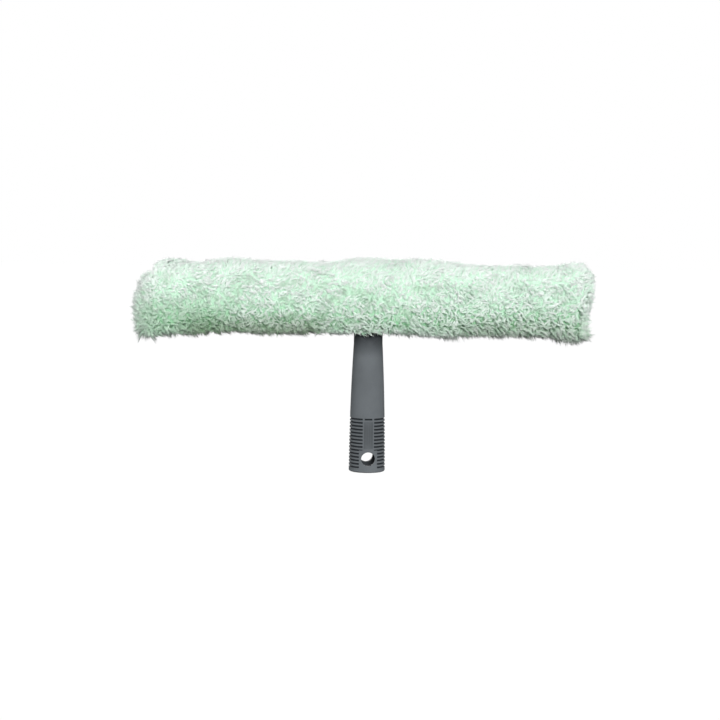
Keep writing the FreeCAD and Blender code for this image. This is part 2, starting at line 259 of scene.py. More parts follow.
# %% [markdown]
# ## Moulded plastic
# The handle is one moulding in dark grey polypropylene, and the bar and its caps are mouldings too.
# Close up, such a moulding has a fine, even grain from the etched steel of its mould, and slow changes
# of tone where the plastic flowed. Use leaves it a little glossier in some places than in others.
# As a mesh, such a grain would take millions of faces, so the Bump node gives it.
# Shade is painted into the colour where little light reaches: in the grip's grooves, inside the socket, and
# high up, where the fleece casts its shadow on the plastic. The shader finds the grooves by comparing a point's
# distance from the handle's axis with the smooth outline that the handle would have without them.

# %% Plastics
MOUTH_RADIUS, NECK_RADIUS, TAPER, BULGE = 14.5 * MM, 11.5 * MM, 103 * MM, 0.7 * MM
# Painted shade in the grooves and inside the socket, and the painted shadow of the fleece high on the handle
GROOVE_START, GROOVE_FADE, GROOVES_UP_TO = 0.24 * MM, 0.3 * MM, 0.6
SOCKET_RADIUS, SOCKET_SHADE = 11.3 * MM, 0.75
FLEECE_SHADOW_FROM, FLEECE_SHADOW_TO, FLEECE_SHADOW_WAVES = 92 * MM, 108 * MM, 160
# The colour of the painted shade
PAINTED_SHADE_COLOUR = (0.022, 0.025, 0.028, 1)
# Waves per metre of the slow tones, the grain and the rubbed places, and how strong each of them is
FLOW, GRAIN, RUBBED = 38, 1400, 95
TONES, SPECK, GLOSS_SPREAD, GRAIN_GLOSS, GRAIN_DEPTH = (0.9, 1.1), 0.92, 0.22, 0.1, 0.05 * MM


def moulded_plastic(name, colour, roughness, painted_shade=None):
    """Plastic with its grain and its tones. Its last argument is a function that says where shade is painted
    into the colour.
    """
    material, tree, shader = new_material(name, roughness, specular=0.03)
    point = object_point(tree)
    flow, grain = noise(point, FLOW, 3), noise(point, GRAIN, 3, 0.6)
    dark, light = ([tone * part for part in colour] for tone in TONES)
    base = colour_ramp(flow, (0.3, dark), (0.7, light))
    speck = colour_ramp(grain, (0.3, (SPECK,) * 3), (0.7, (1.0, 1.0, 1.0)))
    base = colour_mix(1.0, base, speck, "MULTIPLY")
    # Shade painted into the colour where the given function says
    if painted_shade:
        base = colour_mix(painted_shade(point), base, PAINTED_SHADE_COLOUR)
    connect(shader, "Base Color", base)
    worn = noise(point, RUBBED, 4, 0.65) * -GLOSS_SPREAD + (roughness + GLOSS_SPREAD / 2)
    connect(shader, "Roughness", grain * GRAIN_GLOSS + worn)
    bump(shader, grain, GRAIN_DEPTH, 0.5)
    return material


def handle_painted_shade(point):
    """Where shade is painted: 1 in the grooves, less inside the socket and in the fleece's shadow high up, 0 on
    the outline.
    """
    t = point.axis("Z") / TAPER
    radius = step("LENGTH", point * (1.0, 1.0, 0.0))
    outline = t * (1.0 - t) * (4 * BULGE) + between(t, MOUTH_RADIUS, NECK_RADIUS)
    # Painted shade in the grooves, and a share of it inside the socket, low on the handle
    groove = ((outline - radius - GROOVE_START) / GROOVE_FADE).clamped()
    sunk = between(radius < SOCKET_RADIUS, groove, SOCKET_SHADE) * (t < GROOVES_UP_TO)
    # Painted shadow of the fleece, high up on the handle
    fleece_shadow = share_along(point, "Z", FLEECE_SHADOW_FROM, FLEECE_SHADOW_TO) * between(noise(point, FLEECE_SHADOW_WAVES, 3), 0.7, 1.0)
    return step("MAXIMUM", sunk, fleece_shadow)


handle_plastic = moulded_plastic("handle_plastic", (0.130, 0.143, 0.153), 0.55, handle_painted_shade)
bar_plastic = moulded_plastic("bar_plastic", (0.075, 0.084, 0.090), 0.48)
print("plastics:", handle_plastic.name, bar_plastic.name)

# %% [markdown]
# ## Rivets
# Two steel rivets hold the bar in the fork. Their heads are finished flush, which leaves fine scratches.
# The shader's own anisotropy could stretch the highlights, but it would leave the metal smooth. Noise that is
# squeezed along one direction gives stretched blotches, which read as brushed metal from close by too.

# %% Rivet steel
SCRATCHES, SQUEEZE, SCRATCH_DEPTH = 6200, (0.15, 0.15, 1.0), 0.02 * MM


def brushed_steel():
    material, tree, shader = new_material("rivet_steel", 0.32, metallic=1.0)
    scratches = noise(object_point(tree) * SQUEEZE, SCRATCHES, 3, 0.7)
    tone = colour_ramp(scratches, (0.3, (0.30, 0.30, 0.31)), (0.7, (0.44, 0.44, 0.45)))
    connect(shader, "Base Color", tone)
    connect(shader, "Roughness", between(scratches, 0.2, 0.45))
    bump(shader, scratches, SCRATCH_DEPTH, 0.4)
    return material


def dress(material, *node_names):
    """Gives CAD pieces that stay as they are their real finish."""
    for name in node_names:
        for slot in nodes[name].material_slots:
            slot.material = material


dress(handle_plastic, "handle")
dress(brushed_steel(), "bar_rivets")
dress(bar_plastic, "crossbar", "left_end_cap", "right_end_cap")
print("dressed the T-bar")

# %% [markdown]
# ## Fleece colours
# The fleece is spun from two yarns, a white one and a mint one. Towards the cloth both are painted a darker
# green:
# painted shade of the depth of the fleece.
# A painted texture would need a flat map of every strand. Instead each strand carries two numbers: how far
# along it a point lies, and its place between the two yarns. The material turns them into colours.
# The bed under the strands has the darker green of the depth of the fleece, which is painted shade.
# Three things vary that from place to place. Higher up the fleece is painted paler: painted light, for light
# gets into it there. Here and there its tips lie parted and the green below shows, and low at its left end the
# colours are drawn the same way towards the feet. And the underside is darkened with painted shade, in some
# stretches more than in others, which darkens the strands' feet more than their tips.

# %% Fleece materials
# Colours at a strand's foot, dark green with painted shade, and at its tip
WHITE_YARN_WITH_SHADE = (0.15, 0.54, 0.20, 1), (0.96, 0.995, 0.98, 1)
MINT_YARN_WITH_SHADE = (0.04, 0.35, 0.08, 1), (0.73, 0.945, 0.80, 1)
# The bed's greens, dark with painted shade of the depth of the fleece
BED_SHADE_GREENS = (0.18, 0.54, 0.23), (0.40, 0.78, 0.47)
PALE_POWER = 0.80

# Painted light: paler from one height to another
GREEN_TO, PALE_FROM, PALE_SHARE = 114 * MM, 138 * MM, 0.73
PALE_BED = (0.70, 0.90, 0.77, 1)

# Waves per metre of the bed's fibres and tufts, and the depth of its relief
FIBRES, TUFTS, BED_RELIEF = 1500, 320, 0.6 * MM

# Painted shade on the underside, and the greener left end: the heights where they start and are full, and the
# amount at each place, counted from 0 at the sleeve's left end to 1 at its right
UNDERSIDE_SHADE = 129 * MM, 106 * MM, [
    (0.0, 0.0), (0.09, 0.1), (0.14, 0.85), (0.38, 1.0), (0.44, 0.0), (0.66, 0.0), (0.75, 0.6), (0.97, 0.3)
]
GREEN_END = 145 * MM, 130 * MM, [(0.0, 0.3), (0.05, 0.75), (0.11, 0.85), (0.17, 1.0), (0.24, 0.0)]
# The colour of the painted shade on the underside, and its share at the strands' tips
UNDERSIDE_SHADE_COLOUR, UNDERSIDE_SHADE_AT_TIPS = (0.10, 0.17, 0.05, 1), 0.62

# Parted places: how close they come, how much greener and shorter they are, and where they end
PARTINGS, PARTED_ABOVE, PARTED_FADE = 110, 0.53, 0.10
PARTED_GREEN, PARTED_SHORT = 0.36, 0.24
WHOLE_FROM, PARTED_TO = 164 * MM, 148 * MM
PARTED_ALONG = [(0.0, 1.0), (0.6, 1.0), (0.7, 0.35), (0.9, 0.5), (1.0, 0.7)]


def low_stretches(point, start, full, amounts):
    """0 above one height and growing down to another, by amounts that change along the sleeve."""
    place = share_along(point, "X", cad_low.x, cad_high.x)
    stretches = colour_ramp(place, *((stop, (amount,) * 3) for stop, amount in amounts))
    return step("MULTIPLY", share_along(point, "Z", start, full), stretches.axis("X"))


def parted(point):
    """1 where the tips lie apart and the green below shows, 0 elsewhere and near the top."""
    blotch = noise(point * (0.7, 1.0, 1.0), PARTINGS, 3, 0.6)
    share = ((blotch - PARTED_ABOVE) / PARTED_FADE).clamped()
    return share * low_stretches(point, WHOLE_FROM, PARTED_TO, PARTED_ALONG)


# How much painted light makes the fleece paler, growing with height
def pale_share(point):
    return share_along(point, "Z", GREEN_TO, PALE_FROM) * PALE_SHARE


def strand_material():
    material, tree, shader = new_material("fleece_strands", 0.85, specular=0.12)
    along, yarn = (
        out(tree, "ShaderNodeAttribute", output="Fac", attribute_name=name) for name in ("along", "yarn")
    )
    point = object_point(tree)
    # Painted light: paler higher up
    along = between(pale_share(point), along ** PALE_POWER, 1.0)
    # At partings and low at the left end, the colours are drawn towards the feet's painted shade
    towards_feet = step("MAXIMUM", parted(point), low_stretches(point, *GREEN_END))
    along = along * between(towards_feet, 1.0, 1.0 - PARTED_GREEN)
    # From the foot's painted shade to the tip's own colour
    yarn_colour = colour_mix(yarn, colour_mix(along, *WHITE_YARN_WITH_SHADE), colour_mix(along, *MINT_YARN_WITH_SHADE))
    # Painted shade on the underside, less at the tips than at the feet
    shade_below = low_stretches(point, *UNDERSIDE_SHADE) * between(along, 1.0, UNDERSIDE_SHADE_AT_TIPS)
    connect(shader, "Base Color", colour_mix(shade_below, yarn_colour, UNDERSIDE_SHADE_COLOUR))
    shader.inputs["Sheen Weight"].default_value = 0.6
    shader.inputs["Sheen Roughness"].default_value = 0.5
    return material


def bed_material():
    material, tree, shader = new_material("fleece_bed", 0.9, specular=0.1)
    point = object_point(tree)
    fibres, tufts = noise(point, FIBRES, 3, 0.7), noise(point, TUFTS, 2)
    # Dark greens: painted shade of the depth of the fleece
    green = colour_ramp(fibres * 0.6 + tufts * 0.4, (0.35, BED_SHADE_GREENS[0]), (0.65, BED_SHADE_GREENS[1]))
    # Painted light: paler higher up
    green = colour_mix(pale_share(point), green, PALE_BED)
    # Painted shade on the underside
    connect(shader, "Base Color", colour_mix(low_stretches(point, *UNDERSIDE_SHADE), green, UNDERSIDE_SHADE_COLOUR))
    bump(shader, fibres, BED_RELIEF, 0.8)
    return material


fleece_strands = strand_material()
fleece_bed = bed_material()
print("fleece materials:", fleece_strands.name, fleece_bed.name)

# %% [markdown]
# ## From a modifier to a plain mesh
# A piece that a node tree has made is kept as an ordinary mesh, so that nothing depends on the tree later.
# These helpers copy a CAD piece, set a tree's named inputs, run it once, and keep what it made.

# %% Helpers for pieces
def object_of(mesh, name):
    obj = bpy.data.objects.new(name, mesh)
    bpy.context.scene.collection.objects.link(obj)
    return obj


def mesh_object(work, name):
    """What has been built in a bmesh, as an object."""
    mesh = bpy.data.meshes.new(name)
    work.to_mesh(mesh)
    work.free()
    return object_of(mesh, name)


def joined_copy(*names):
    """CAD pieces as one loose mesh, their triangles merged at shared corners."""
    work = bmesh.new()
    for name in names:
        work.from_mesh(nodes[name].data)
    bmesh.ops.remove_doubles(work, verts=work.verts, dist=0.001 * MM)
    return mesh_object(work, f"{names[0]}_copy")


def evaluated_mesh(obj):
    """What obj's modifiers make of it, as a new mesh."""
    graph = bpy.context.evaluated_depsgraph_get()
    ready = obj.evaluated_get(graph)
    return bpy.data.meshes.new_from_object(ready, preserve_all_data_layers=True, depsgraph=graph)


def grown(obj, tree, values, name):
    """A new object with what a node tree makes from obj. values are its named inputs."""
    modifier = obj.modifiers.new(tree.name, "NODES")
    modifier.node_group = tree
    for item in tree.interface.items_tree:
        if item.in_out == "INPUT" and item.name in values:
            modifier[item.identifier] = values[item.name]
    mesh = evaluated_mesh(obj)
    obj.modifiers.remove(modifier)
    return object_of(mesh, name)


def place(piece, slot, *node_names):
    """Lets a finished piece stand for CAD pieces and move with their body."""
    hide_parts(*node_names)
    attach(piece, nodes[node_names[0]]["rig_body"])


def triangles(*pieces):
    return sum(len(face.vertices) - 2 for piece in pieces for face in piece.data.polygons)


print("helpers for pieces ready")

# %% [markdown]
# ## Starting a Geometry Nodes tree
# Each tree gets named inputs for its sizes, and ends in real geometry with its material.
# Values that later nodes need are stored on the points under a name.

# %% Helpers for Geometry Nodes
def new_tree(name, **sockets):
    """A tree for a modifier. sockets gives its inputs' names and kinds."""
    tree = bpy.data.node_groups.new(name, "GeometryNodeTree")
    tree.interface.new_socket("Geometry", in_out="INPUT", socket_type="NodeSocketGeometry")
    for label, kind in sockets.items():
        label = label.replace("_", " ")
        tree.interface.new_socket(label, in_out="INPUT", socket_type=f"NodeSocket{kind}")
    tree.interface.new_socket("Geometry", in_out="OUTPUT", socket_type="NodeSocketGeometry")
    return tree, {socket.name: Wire(socket) for socket in tree.nodes.new("NodeGroupInput").outputs}


def finish_tree(geometry, material):
    tree = geometry.tree
    real = out(tree, "GeometryNodeRealizeInstances", {"Geometry": geometry})
    smooth = out(tree, "GeometryNodeSetShadeSmooth", {"Geometry": real})
    painted = out(tree, "GeometryNodeSetMaterial", {"Geometry": smooth, "Material": material})
    add(tree, "NodeGroupOutput", {"Geometry": painted})
    return tree


def here(tree):
    """The place of the point that a tree works on."""
    return out(tree, "GeometryNodeInputPosition")


def arrow_up(tree, height):
    return out(tree, "ShaderNodeCombineXYZ", {"Z": height})


def store(geometry, name, value, kind="FLOAT_VECTOR"):
    inputs = {"Geometry": geometry, "Name": name, "Value": value}
    return out(geometry.tree, "GeometryNodeStoreNamedAttribute", inputs, data_type=kind, domain="POINT")


def stored(tree, name, kind="FLOAT_VECTOR"):
    return out(tree, "GeometryNodeInputNamedAttribute", {"Name": name}, data_type=kind)


def moved(geometry, **inputs):
    return out(geometry.tree, "GeometryNodeSetPosition", {"Geometry": geometry, **inputs})


def random_number(tree, low, high, seed):
    """Its sockets for plain numbers are 2 and 3, and output 1."""
    return out(tree, "FunctionNodeRandomValue", {2: low, 3: high, "Seed": seed}, 1, data_type="FLOAT")


def random_arrow(tree, seed):
    inputs = {0: (-1.0, -1.0, -1.0), 1: (1.0, 1.0, 1.0), "Seed": seed}
    return out(tree, "FunctionNodeRandomValue", inputs, data_type="FLOAT_VECTOR")


def centred(colour):
    """A noise colour as an arrow from -1 to 1."""
    return (colour - (0.5, 0.5, 0.5)) * 2.0


print("helpers for Geometry Nodes ready")

# %% [markdown]
# ## Which way is out
# Fibres stand on the cloth. The normals of the fleece's faces would send them off squarely from each panel,
# with a parting at every edge. So the Geometry Proximity node finds the nearest place on the cloth for any
# point of the fleece, and the arrow from there to the point is the way that the fibres grow.
# At the sleeve's edges these arrows fan out by themselves, just as real fleece does.

# %% Way out of the cloth
def outward(cloth, point):
    """Way out at a point, the cloth's nearest place and the distance from it."""
    inputs = {"Object": cloth}
    surface = out(cloth.tree, "GeometryNodeObjectInfo", inputs, "Geometry", transform_space="RELATIVE")
    inputs = {"Geometry": surface, "Sample Position": point}
    near = add(cloth.tree, "GeometryNodeProximity", inputs, target_element="FACES").outputs
    foot = Wire(near["Position"])
    return step("NORMALIZE", point - foot), foot, Wire(near["Distance"])


def square_to(way, arrow):
    """The part of an arrow that lies square to a way."""
    return arrow - way * step("DOT_PRODUCT", way, arrow)


print("fibres know their way out")

# %% [markdown]
# ## The bed of the fleece
# Near the cloth the fibres stand so close that no light passes. It would take many times more strands to
# fill that dense part, so it is modelled as a bed: the outer shape of the fleece, drawn in towards the cloth,
# with low lumps where the tufts are.
# It lies lower on the underside, where the fleece hangs loose and one sees into it, and at both ends.
# The sleeve has also been pressed out of shape in two places: its upper left corner has fallen in,
# and it has a waist low at the right end. A share of less than 1 there shortens bed and strands alike.
# A voxel remesh first gives the bed even faces, which a CAD mesh never has.

# %% Bed tree
CLOTH_REACH = 1.5 * MM
END_FROM, END_FADE, END_SHARE = 168 * MM, 6 * MM, 0.72
UNDERSIDE, SHOULDER, BED_BELOW = 115 * MM, 155 * MM, 0.6
CORNER_X, CORNER_HEIGHT, CORNER_LEFT = (-168 * MM, -173 * MM), (152.5 * MM, 157.5 * MM), 0.4
WAIST_X, WAIST_LEFT = (163 * MM, 170 * MM), 0.55
WAIST_TOP, WAIST_FOOT = (142 * MM, 130 * MM), (107 * MM, 114 * MM)


def by_height(point, below, above):
    """One number on the sleeve's underside, another from its shoulder upwards."""
    return between(share_along(point, "Z", UNDERSIDE, SHOULDER), below, above)


def pressed(point):
    """1 nearly everywhere, and less where the fleece is pressed: at the upper left, and low at the right."""
    corner = share_along(point, "X", *CORNER_X) * share_along(point, "Z", *CORNER_HEIGHT)
    waist = step("MINIMUM", *(share_along(point, "Z", *heights) for heights in (WAIST_TOP, WAIST_FOOT)))
    waist = waist * share_along(point, "X", *WAIST_X)
    return between(corner, 1.0, CORNER_LEFT) * between(waist, 1.0, WAIST_LEFT)


def bed_tree():
    tree, given = new_tree(
        "fleece bed", Cloth="Object", Share="Float", Lumps="Float", Lump_size="Float", Material="Material"
    )
    point = here(tree)
    way, foot, distance = outward(given["Cloth"], point)
    rise = (noise(point, 1.0 / given["Lump size"]) - 0.5) * given["Lumps"]
    beyond = ((abs(point.axis("X")) - END_FROM) / END_FADE).clamped()
    share = given["Share"] * by_height(point, BED_BELOW, 1.0) * pressed(point) * between(beyond, 1.0, END_SHARE)
    sunk = foot + way * (distance * share + rise)
    shaped = moved(given["Geometry"], Selection=distance > CLOTH_REACH, Position=sunk)
    return finish_tree(shaped, given["Material"])


BED_TREE = bed_tree()
print("bed tree has", len(BED_TREE.nodes), "nodes")

# %% [markdown]
# ## Locks and tufts
# Fine fibres cling together in locks, and locks in tufts. A Voronoi pattern divides space into cells.
# All strands whose tips fall in one cell belong together and lean towards its middle.
# Because the cells fill space, the locks run on unbroken from one panel of the sleeve to the next.

# %% Cells that gather strands
def gathered(position, way, size, pull):
    """Arrow that draws a tip towards the middle of its cell, and the cell's lottery numbers."""
    cell = add(position.tree, "ShaderNodeTexVoronoi", {"Vector": position, "Scale": 1.0 / size}).outputs
    return square_to(way, Wire(cell["Position"]) - position) * pull, Wire(cell["Color"])


print("locks and tufts ready")

# %% [markdown]
# ## Where a strand ends
# The points are scattered on the fleece's outer shape, where the tips belong. From there each strand goes
# back towards the cloth for its foot. Its tip is gathered into its lock and its tuft, made a little longer
# or shorter, and combed aside by slow noise, so that neighbouring locks lie much alike.

# %% Foot, knee and tip
# Shares on the underside and from the shoulder up
FEET, LOCKED, COMBED, OWN_WAY, UNEVEN = (0.62, 1.0), (1.0, 0.72), (0.2, 0.75), (1.1, 0.7), (1.0, 0.6)
SWIRL, DOWNHILL, STRAY = 2.2, (0.35, 0.0, 0.45), 0.12
KNEE_HEIGHT = 0.55
# How much the strand itself, its lock and its tuft change its length
OWN_LUCK, LOCK_LUCK, TUFT_LUCK = 0.35, 1.1, 0.9
# Each random number has a seed of its own, so that no two of them rise and fall together
SEEDS = {"reach": 12, "stray": 14, "yarn": 16, "girth": 17, "twist": 18}


def strand_ends(tree, given, position):
    way, cloth_place, distance = outward(given["Cloth"], position)
    share = given["Foot share"] * by_height(position, *FEET) * pressed(position)
    foot = cloth_place + way * (distance * share)
    pull = given["Lock pull"] * by_height(position, *LOCKED)
    to_lock, lock = gathered(position, way, given["Lock size"], pull)
    to_tuft, tuft = gathered(position, way, given["Tuft size"], given["Tuft pull"])
    end = foot + (position + (to_lock + to_tuft) - foot) * reach(tree, given, position, lock, tuft)
    swirl = centred(noise(position, 1.0 / given["Comb size"], 1.0, output=1)) * SWIRL + DOWNHILL
    aside = swirl * by_height(position, *COMBED) + random_arrow(tree, SEEDS["stray"]) * STRAY
    aside = aside + centred(lock) * by_height(position, *OWN_WAY)
    sag = arrow_up(tree, given["Droop"] * -1.0)
    tip = end + (square_to(way, aside) * given["Comb"] + square_to(way, sag))
    knee = foot + way * (step("DISTANCE", foot, tip) * KNEE_HEIGHT)
    return {"foot": foot, "knee": knee, "tip": tip, "way": way}, lock


def reach(tree, given, position, lock, tuft):
    """How far a strand reaches, as a share of the fleece's plain height."""
    luck = lock.axis("X") * LOCK_LUCK + random_number(tree, -OWN_LUCK, OWN_LUCK, SEEDS["reach"])
    luck = tuft.axis("X") * TUFT_LUCK + luck - 1.0
    most = given["Length spread"] * by_height(position, *UNEVEN)
    plain = by_height(position, given["Length below"], given["Length"])
    return (luck * most + plain) * (pressed(position) * between(parted(position), 1.0, 1.0 - PARTED_SHORT))


print("strand ends ready")

# %% [markdown]
# ## Which yarn a strand is spun from
# Locks are mostly of one yarn, and whole patches of the fleece are a little whiter or greener.
# The strand's own share keeps single odd fibres in every lock.

# %% Yarn
PATCHES, BY_PATCH, BY_LOCK, BY_STRAND, WHITER = 140, 0.5, 1.1, 0.25, 0.53


def yarn_share(position, lock):
    """0 for a white strand, 1 for a mint one."""
    by_strand = random_number(position.tree, -BY_STRAND, BY_STRAND, SEEDS["yarn"])
    share = lock.axis("Y") * BY_LOCK + by_strand
    return (noise(position, PATCHES, 3.0) * BY_PATCH + share - WHITER).clamped()


print("yarns ready")

# %% [markdown]
# ## One strand
# Up close a strand is a thin bundle of fibres that ends in a point. Blender's hair curves could draw it,
# but they aren't a mesh, and everything here ends as one. A cone with three sides and two segments is enough,
# because well over a hundred thousand of them have to fit in one scene.
# Each copy is bent along a curve from its foot, past its knee, to its tip.

# %% Spike and its bend
# A cone narrows evenly. It is widened by this share along the way, so that a strand keeps its body for longer
SWELL = 1.4


def spike(tree):
    """An upright strand from 0 to 1 along Z, with its shape stored on its points."""
    sizes = {"Vertices": 3, "Side Segments": 2, "Radius Top": 0.0, "Radius Bottom": 1.0, "Depth": 1.0}
    return store(out(tree, "GeometryNodeMeshCone", sizes, "Mesh"), "shape", here(tree))


def bent_place(tree):
    """Where each point of a spike goes, and how far along the strand it lies."""
    shape = stored(tree, "shape")
    foot, knee, tip, twist = (stored(tree, name) for name in ("foot", "knee", "tip", "twist"))
    t = shape.axis("Z")
    lower = foot + (knee - foot) * t
    upper = knee + (tip - knee) * t
    heading = step("NORMALIZE", upper - lower)
    side = step("NORMALIZE", step("CROSS_PRODUCT", heading, twist))
    other = step("CROSS_PRODUCT", heading, side)
    girth = stored(tree, "girth", "FLOAT") * (t * SWELL + 1.0)
    centre = lower + (upper - lower) * t
    return centre + side * (shape.axis("X") * girth) + other * (shape.axis("Y") * girth), t


print("spike ready")

# %% [markdown]
# ## The whole strand tree
# Now the steps join up: scatter points on the outward faces of the fleece, keep the span that is wanted,
# work out each strand's ends, put a spike there and bend it.
# Real fleece scatters light, so that its lit side has no hard edges. The strands get that look from
# normals of their own: the way out of the cloth, with a share of the strand's true normal mixed in.
# Low on the sleeve an upward part is added, as the strands there catch light from above between them.
# Two numbers stay on the finished mesh for the material, and everything else is removed again.

# %% Strand tree
OUTWARD_FACING, OFF_THE_CLOTH, GIRTH_SPREAD = 0.3, 2 * MM, 0.25
# Shares of the strand's own normal and of the upward part, on the underside and from the shoulder up
OWN_NORMAL, OWN_NORMAL_AT_ENDS, UPWARD = (1.9, 0.9), 1.0, (1.3, 0.0)


def scattered(tree, given, position):
    """Points for the strands, on the outward faces between Start and End along X."""
    way, _, distance = outward(given["Cloth"], position)
    facing = step("DOT_PRODUCT", way, out(tree, "GeometryNodeInputNormal"))
    inputs = {"Mesh": given["Geometry"], "Density": given["Strands per area"], "Seed": given["Seed"]}
    inputs["Selection"] = (facing > OUTWARD_FACING) * (distance > OFF_THE_CLOTH)
    points = out(tree, "GeometryNodeDistributePointsOnFaces", inputs, "Points")
    x = position.axis("X")
    elsewhere = step("MAXIMUM", x < given["Start"], x > given["End"])
    inputs = {"Geometry": points, "Selection": elsewhere}
    return out(tree, "GeometryNodeDeleteGeometry", inputs, domain="POINT")


def soft_normal(tree):
    """The normal that a point of a strand is shaded with."""
    position, way = here(tree), stored(tree, "way")
    own_share = abs(way.axis("X")) * OWN_NORMAL_AT_ENDS + by_height(position, *OWN_NORMAL)
    own = out(tree, "GeometryNodeInputNormal") * own_share
    return step("NORMALIZE", way + (own + arrow_up(tree, by_height(position, *UPWARD))))


def strand_tree():
    sockets = dict.fromkeys([
        "Start", "End", "Strands_per_area", "Foot_share", "Length", "Length_below", "Length_spread",
        "Lock_size", "Lock_pull", "Tuft_size", "Tuft_pull", "Comb", "Comb_size", "Droop", "Width"
    ], "Float")
    tree, given = new_tree("fleece strands", Cloth="Object", Seed="Int", Material="Material", **sockets)
    position = here(tree)
    strands = scattered(tree, given, position)
    ends, lock = strand_ends(tree, given, position)
    for name, value in {**ends, "twist": random_arrow(tree, SEEDS["twist"])}.items():
        strands = store(strands, name, value)
    girth = given["Width"] * random_number(tree, 1 - GIRTH_SPREAD, 1 + GIRTH_SPREAD, SEEDS["girth"])
    strands = store(strands, "girth", girth, "FLOAT")
    strands = store(strands, "yarn", yarn_share(position, lock), "FLOAT")
    # The places are stored first, because from here on each value is read from the copies.
    fur = out(tree, "GeometryNodeInstanceOnPoints", {"Points": strands, "Instance": spike(tree)})
    fur = out(tree, "GeometryNodeRealizeInstances", {"Geometry": fur})
    bent, t = bent_place(tree)
    fur = store(moved(fur, Position=bent), "along", t, "FLOAT")
    inputs = {"Mesh": fur, "Custom Normal": soft_normal(tree)}
    fur = out(tree, "GeometryNodeSetMeshNormal", inputs, mode="FREE", domain="POINT")
    for name in ("foot", "knee", "tip", "way", "twist", "girth", "shape"):
        fur = out(tree, "GeometryNodeRemoveAttribute", {"Geometry": fur, "Name": name})
    return finish_tree(fur, given["Material"])


STRAND_TREE = strand_tree()
print("strand tree has", len(STRAND_TREE.nodes), "nodes")

# %% [markdown]
# ## Growing the fleece
# Everything that sits on the sleeve shares one bed. The strands are grown panel by panel, and the long
# panels in spans, only to keep every mesh at a handy size. The strands of the two ends are a little shorter.
# The two lips under the bar open on their own, so their fleece is grown from their own cloths. It is thin,
# and an opened lip shows it from the side, so its strands are rooted deeper, near the cloth.

# %% Grow the fleece
BED = {"Share": 0.78, "Lumps": 1.5 * MM, "Lump size": 9 * MM, "Material": fleece_bed}
BED_VOXEL = 2.4 * MM
STRANDS = {
    "Strands per area": 2.0e6, "Foot share": 0.66, "Width": 0.24 * MM, "Material": fleece_strands,
    "Length": 1.03, "Length below": 0.88, "Length spread": 0.38,
    "Lock size": 2.2 * MM, "Lock pull": 0.92, "Tuft size": 8 * MM, "Tuft pull": 0.28,
    "Comb": 4.6 * MM, "Comb size": 24 * MM, "Droop": 0.6 * MM,
}
# Length and Length below of the two ends
END_LENGTHS = {"left_end_pile": (0.95, 0.74), "right_end_pile": (0.93, 0.84)}
# Shares of the lips' bed and of the feet of their strands
LIP_ROOTS = 0.35, 0.1


def grow_fleece(name, panels, cloths, seed, rooted=(BED["Share"], STRANDS["Foot share"])):
    """The bed and the strands of one body's fleece. panels gives each one's number of spans."""
    bed_share, foot_share = rooted
    cloth, core = joined_copy(*cloths), joined_copy(*panels)
    remesh = core.modifiers.new("even faces", "REMESH")
    remesh.mode, remesh.voxel_size = "VOXEL", BED_VOXEL
    made = [grown(core, BED_TREE, {**BED, "Cloth": cloth, "Share": bed_share}, f"{name}_bed")]
    place(made[0], "fleece_pile", *panels)
    for panel, spans in panels.items():
        outside = joined_copy(panel)
        low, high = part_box(panel)
        for i in range(spans):
            start = low.x + (high.x - low.x) * i / spans if i else low.x - MM
            end = low.x + (high.x - low.x) * (i + 1) / spans if i < spans - 1 else high.x + MM
            values = {**STRANDS, "Cloth": cloth, "Start": start, "End": end, "Seed": seed + len(made)}
            values["Foot share"] = foot_share
            if panel in END_LENGTHS:
                values["Length"], values["Length below"] = END_LENGTHS[panel]
            made.append(grown(outside, STRAND_TREE, values, f"{panel}_strands_{i + 1}"))
            place(made[-1], "fleece_pile", panel)
        bpy.data.objects.remove(outside)
    for helper in (core, cloth):
        bpy.data.objects.remove(helper)
    print(name, "fleece:", len(made), "pieces,", triangles(*made), "triangles, most", max(map(triangles, made)))
    return made


sleeve_panels = {"top_pile": 3, "front_pile": 3, "back_pile": 3, "left_end_pile": 1, "right_end_pile": 1}
fleece = grow_fleece("sleeve", sleeve_panels, ["sleeve_cloth", "left_end_cloth", "right_end_cloth"], 1)
fleece += grow_fleece("front_lip", {"front_lip_pile": 1}, ["front_lip_cloth"], 41, LIP_ROOTS)
fleece += grow_fleece("back_lip", {"back_lip_pile": 1}, ["back_lip_cloth"], 61, LIP_ROOTS)
print("fleece in all:", triangles(*fleece), "triangles")

# %% [markdown]
# ## Cloth from its flat pattern
# Fleece is knitted into a backing, as the pile of a rug is woven into its ground. Each cloth is first thought
# of flat, as it was cut: a patch is a grid of flat points, and a rule says where each of them lies in place.
# A simulation could drape it, but cloth that is drawn tight over a bar has no folds to find, and a rule gives
# the same shape each time. The flat points also become the cloth's UV map, so its knit follows the cloth
# round every bend. A Solidify modifier then gives it its thickness.

# %% Helpers for cloth
CREASE = math.radians(50)


def finished(work, name, material, thickness=None):
    """What has been built, with its faces turned outward, its thickness and its shading."""
    bmesh.ops.recalc_face_normals(work, faces=work.faces)
    obj = mesh_object(work, name)
    obj.data.materials.append(material)
    if thickness:
        solid = obj.modifiers.new("thickness", "SOLIDIFY")
        solid.thickness, solid.offset, solid.use_even_offset = thickness, 0, True
        mesh = evaluated_mesh(obj)
        obj.modifiers.clear()
        obj.data = mesh
    obj.data.shade_smooth()
    obj.data.set_sharp_from_angle(angle=CREASE)
    return obj


def add_face(work, verts, pattern, spots):
    """A face between points, with their places on the flat pattern."""
    face = work.faces.new(verts)
    for loop, spot in zip(face.loops, spots):
        loop[pattern].uv = spot


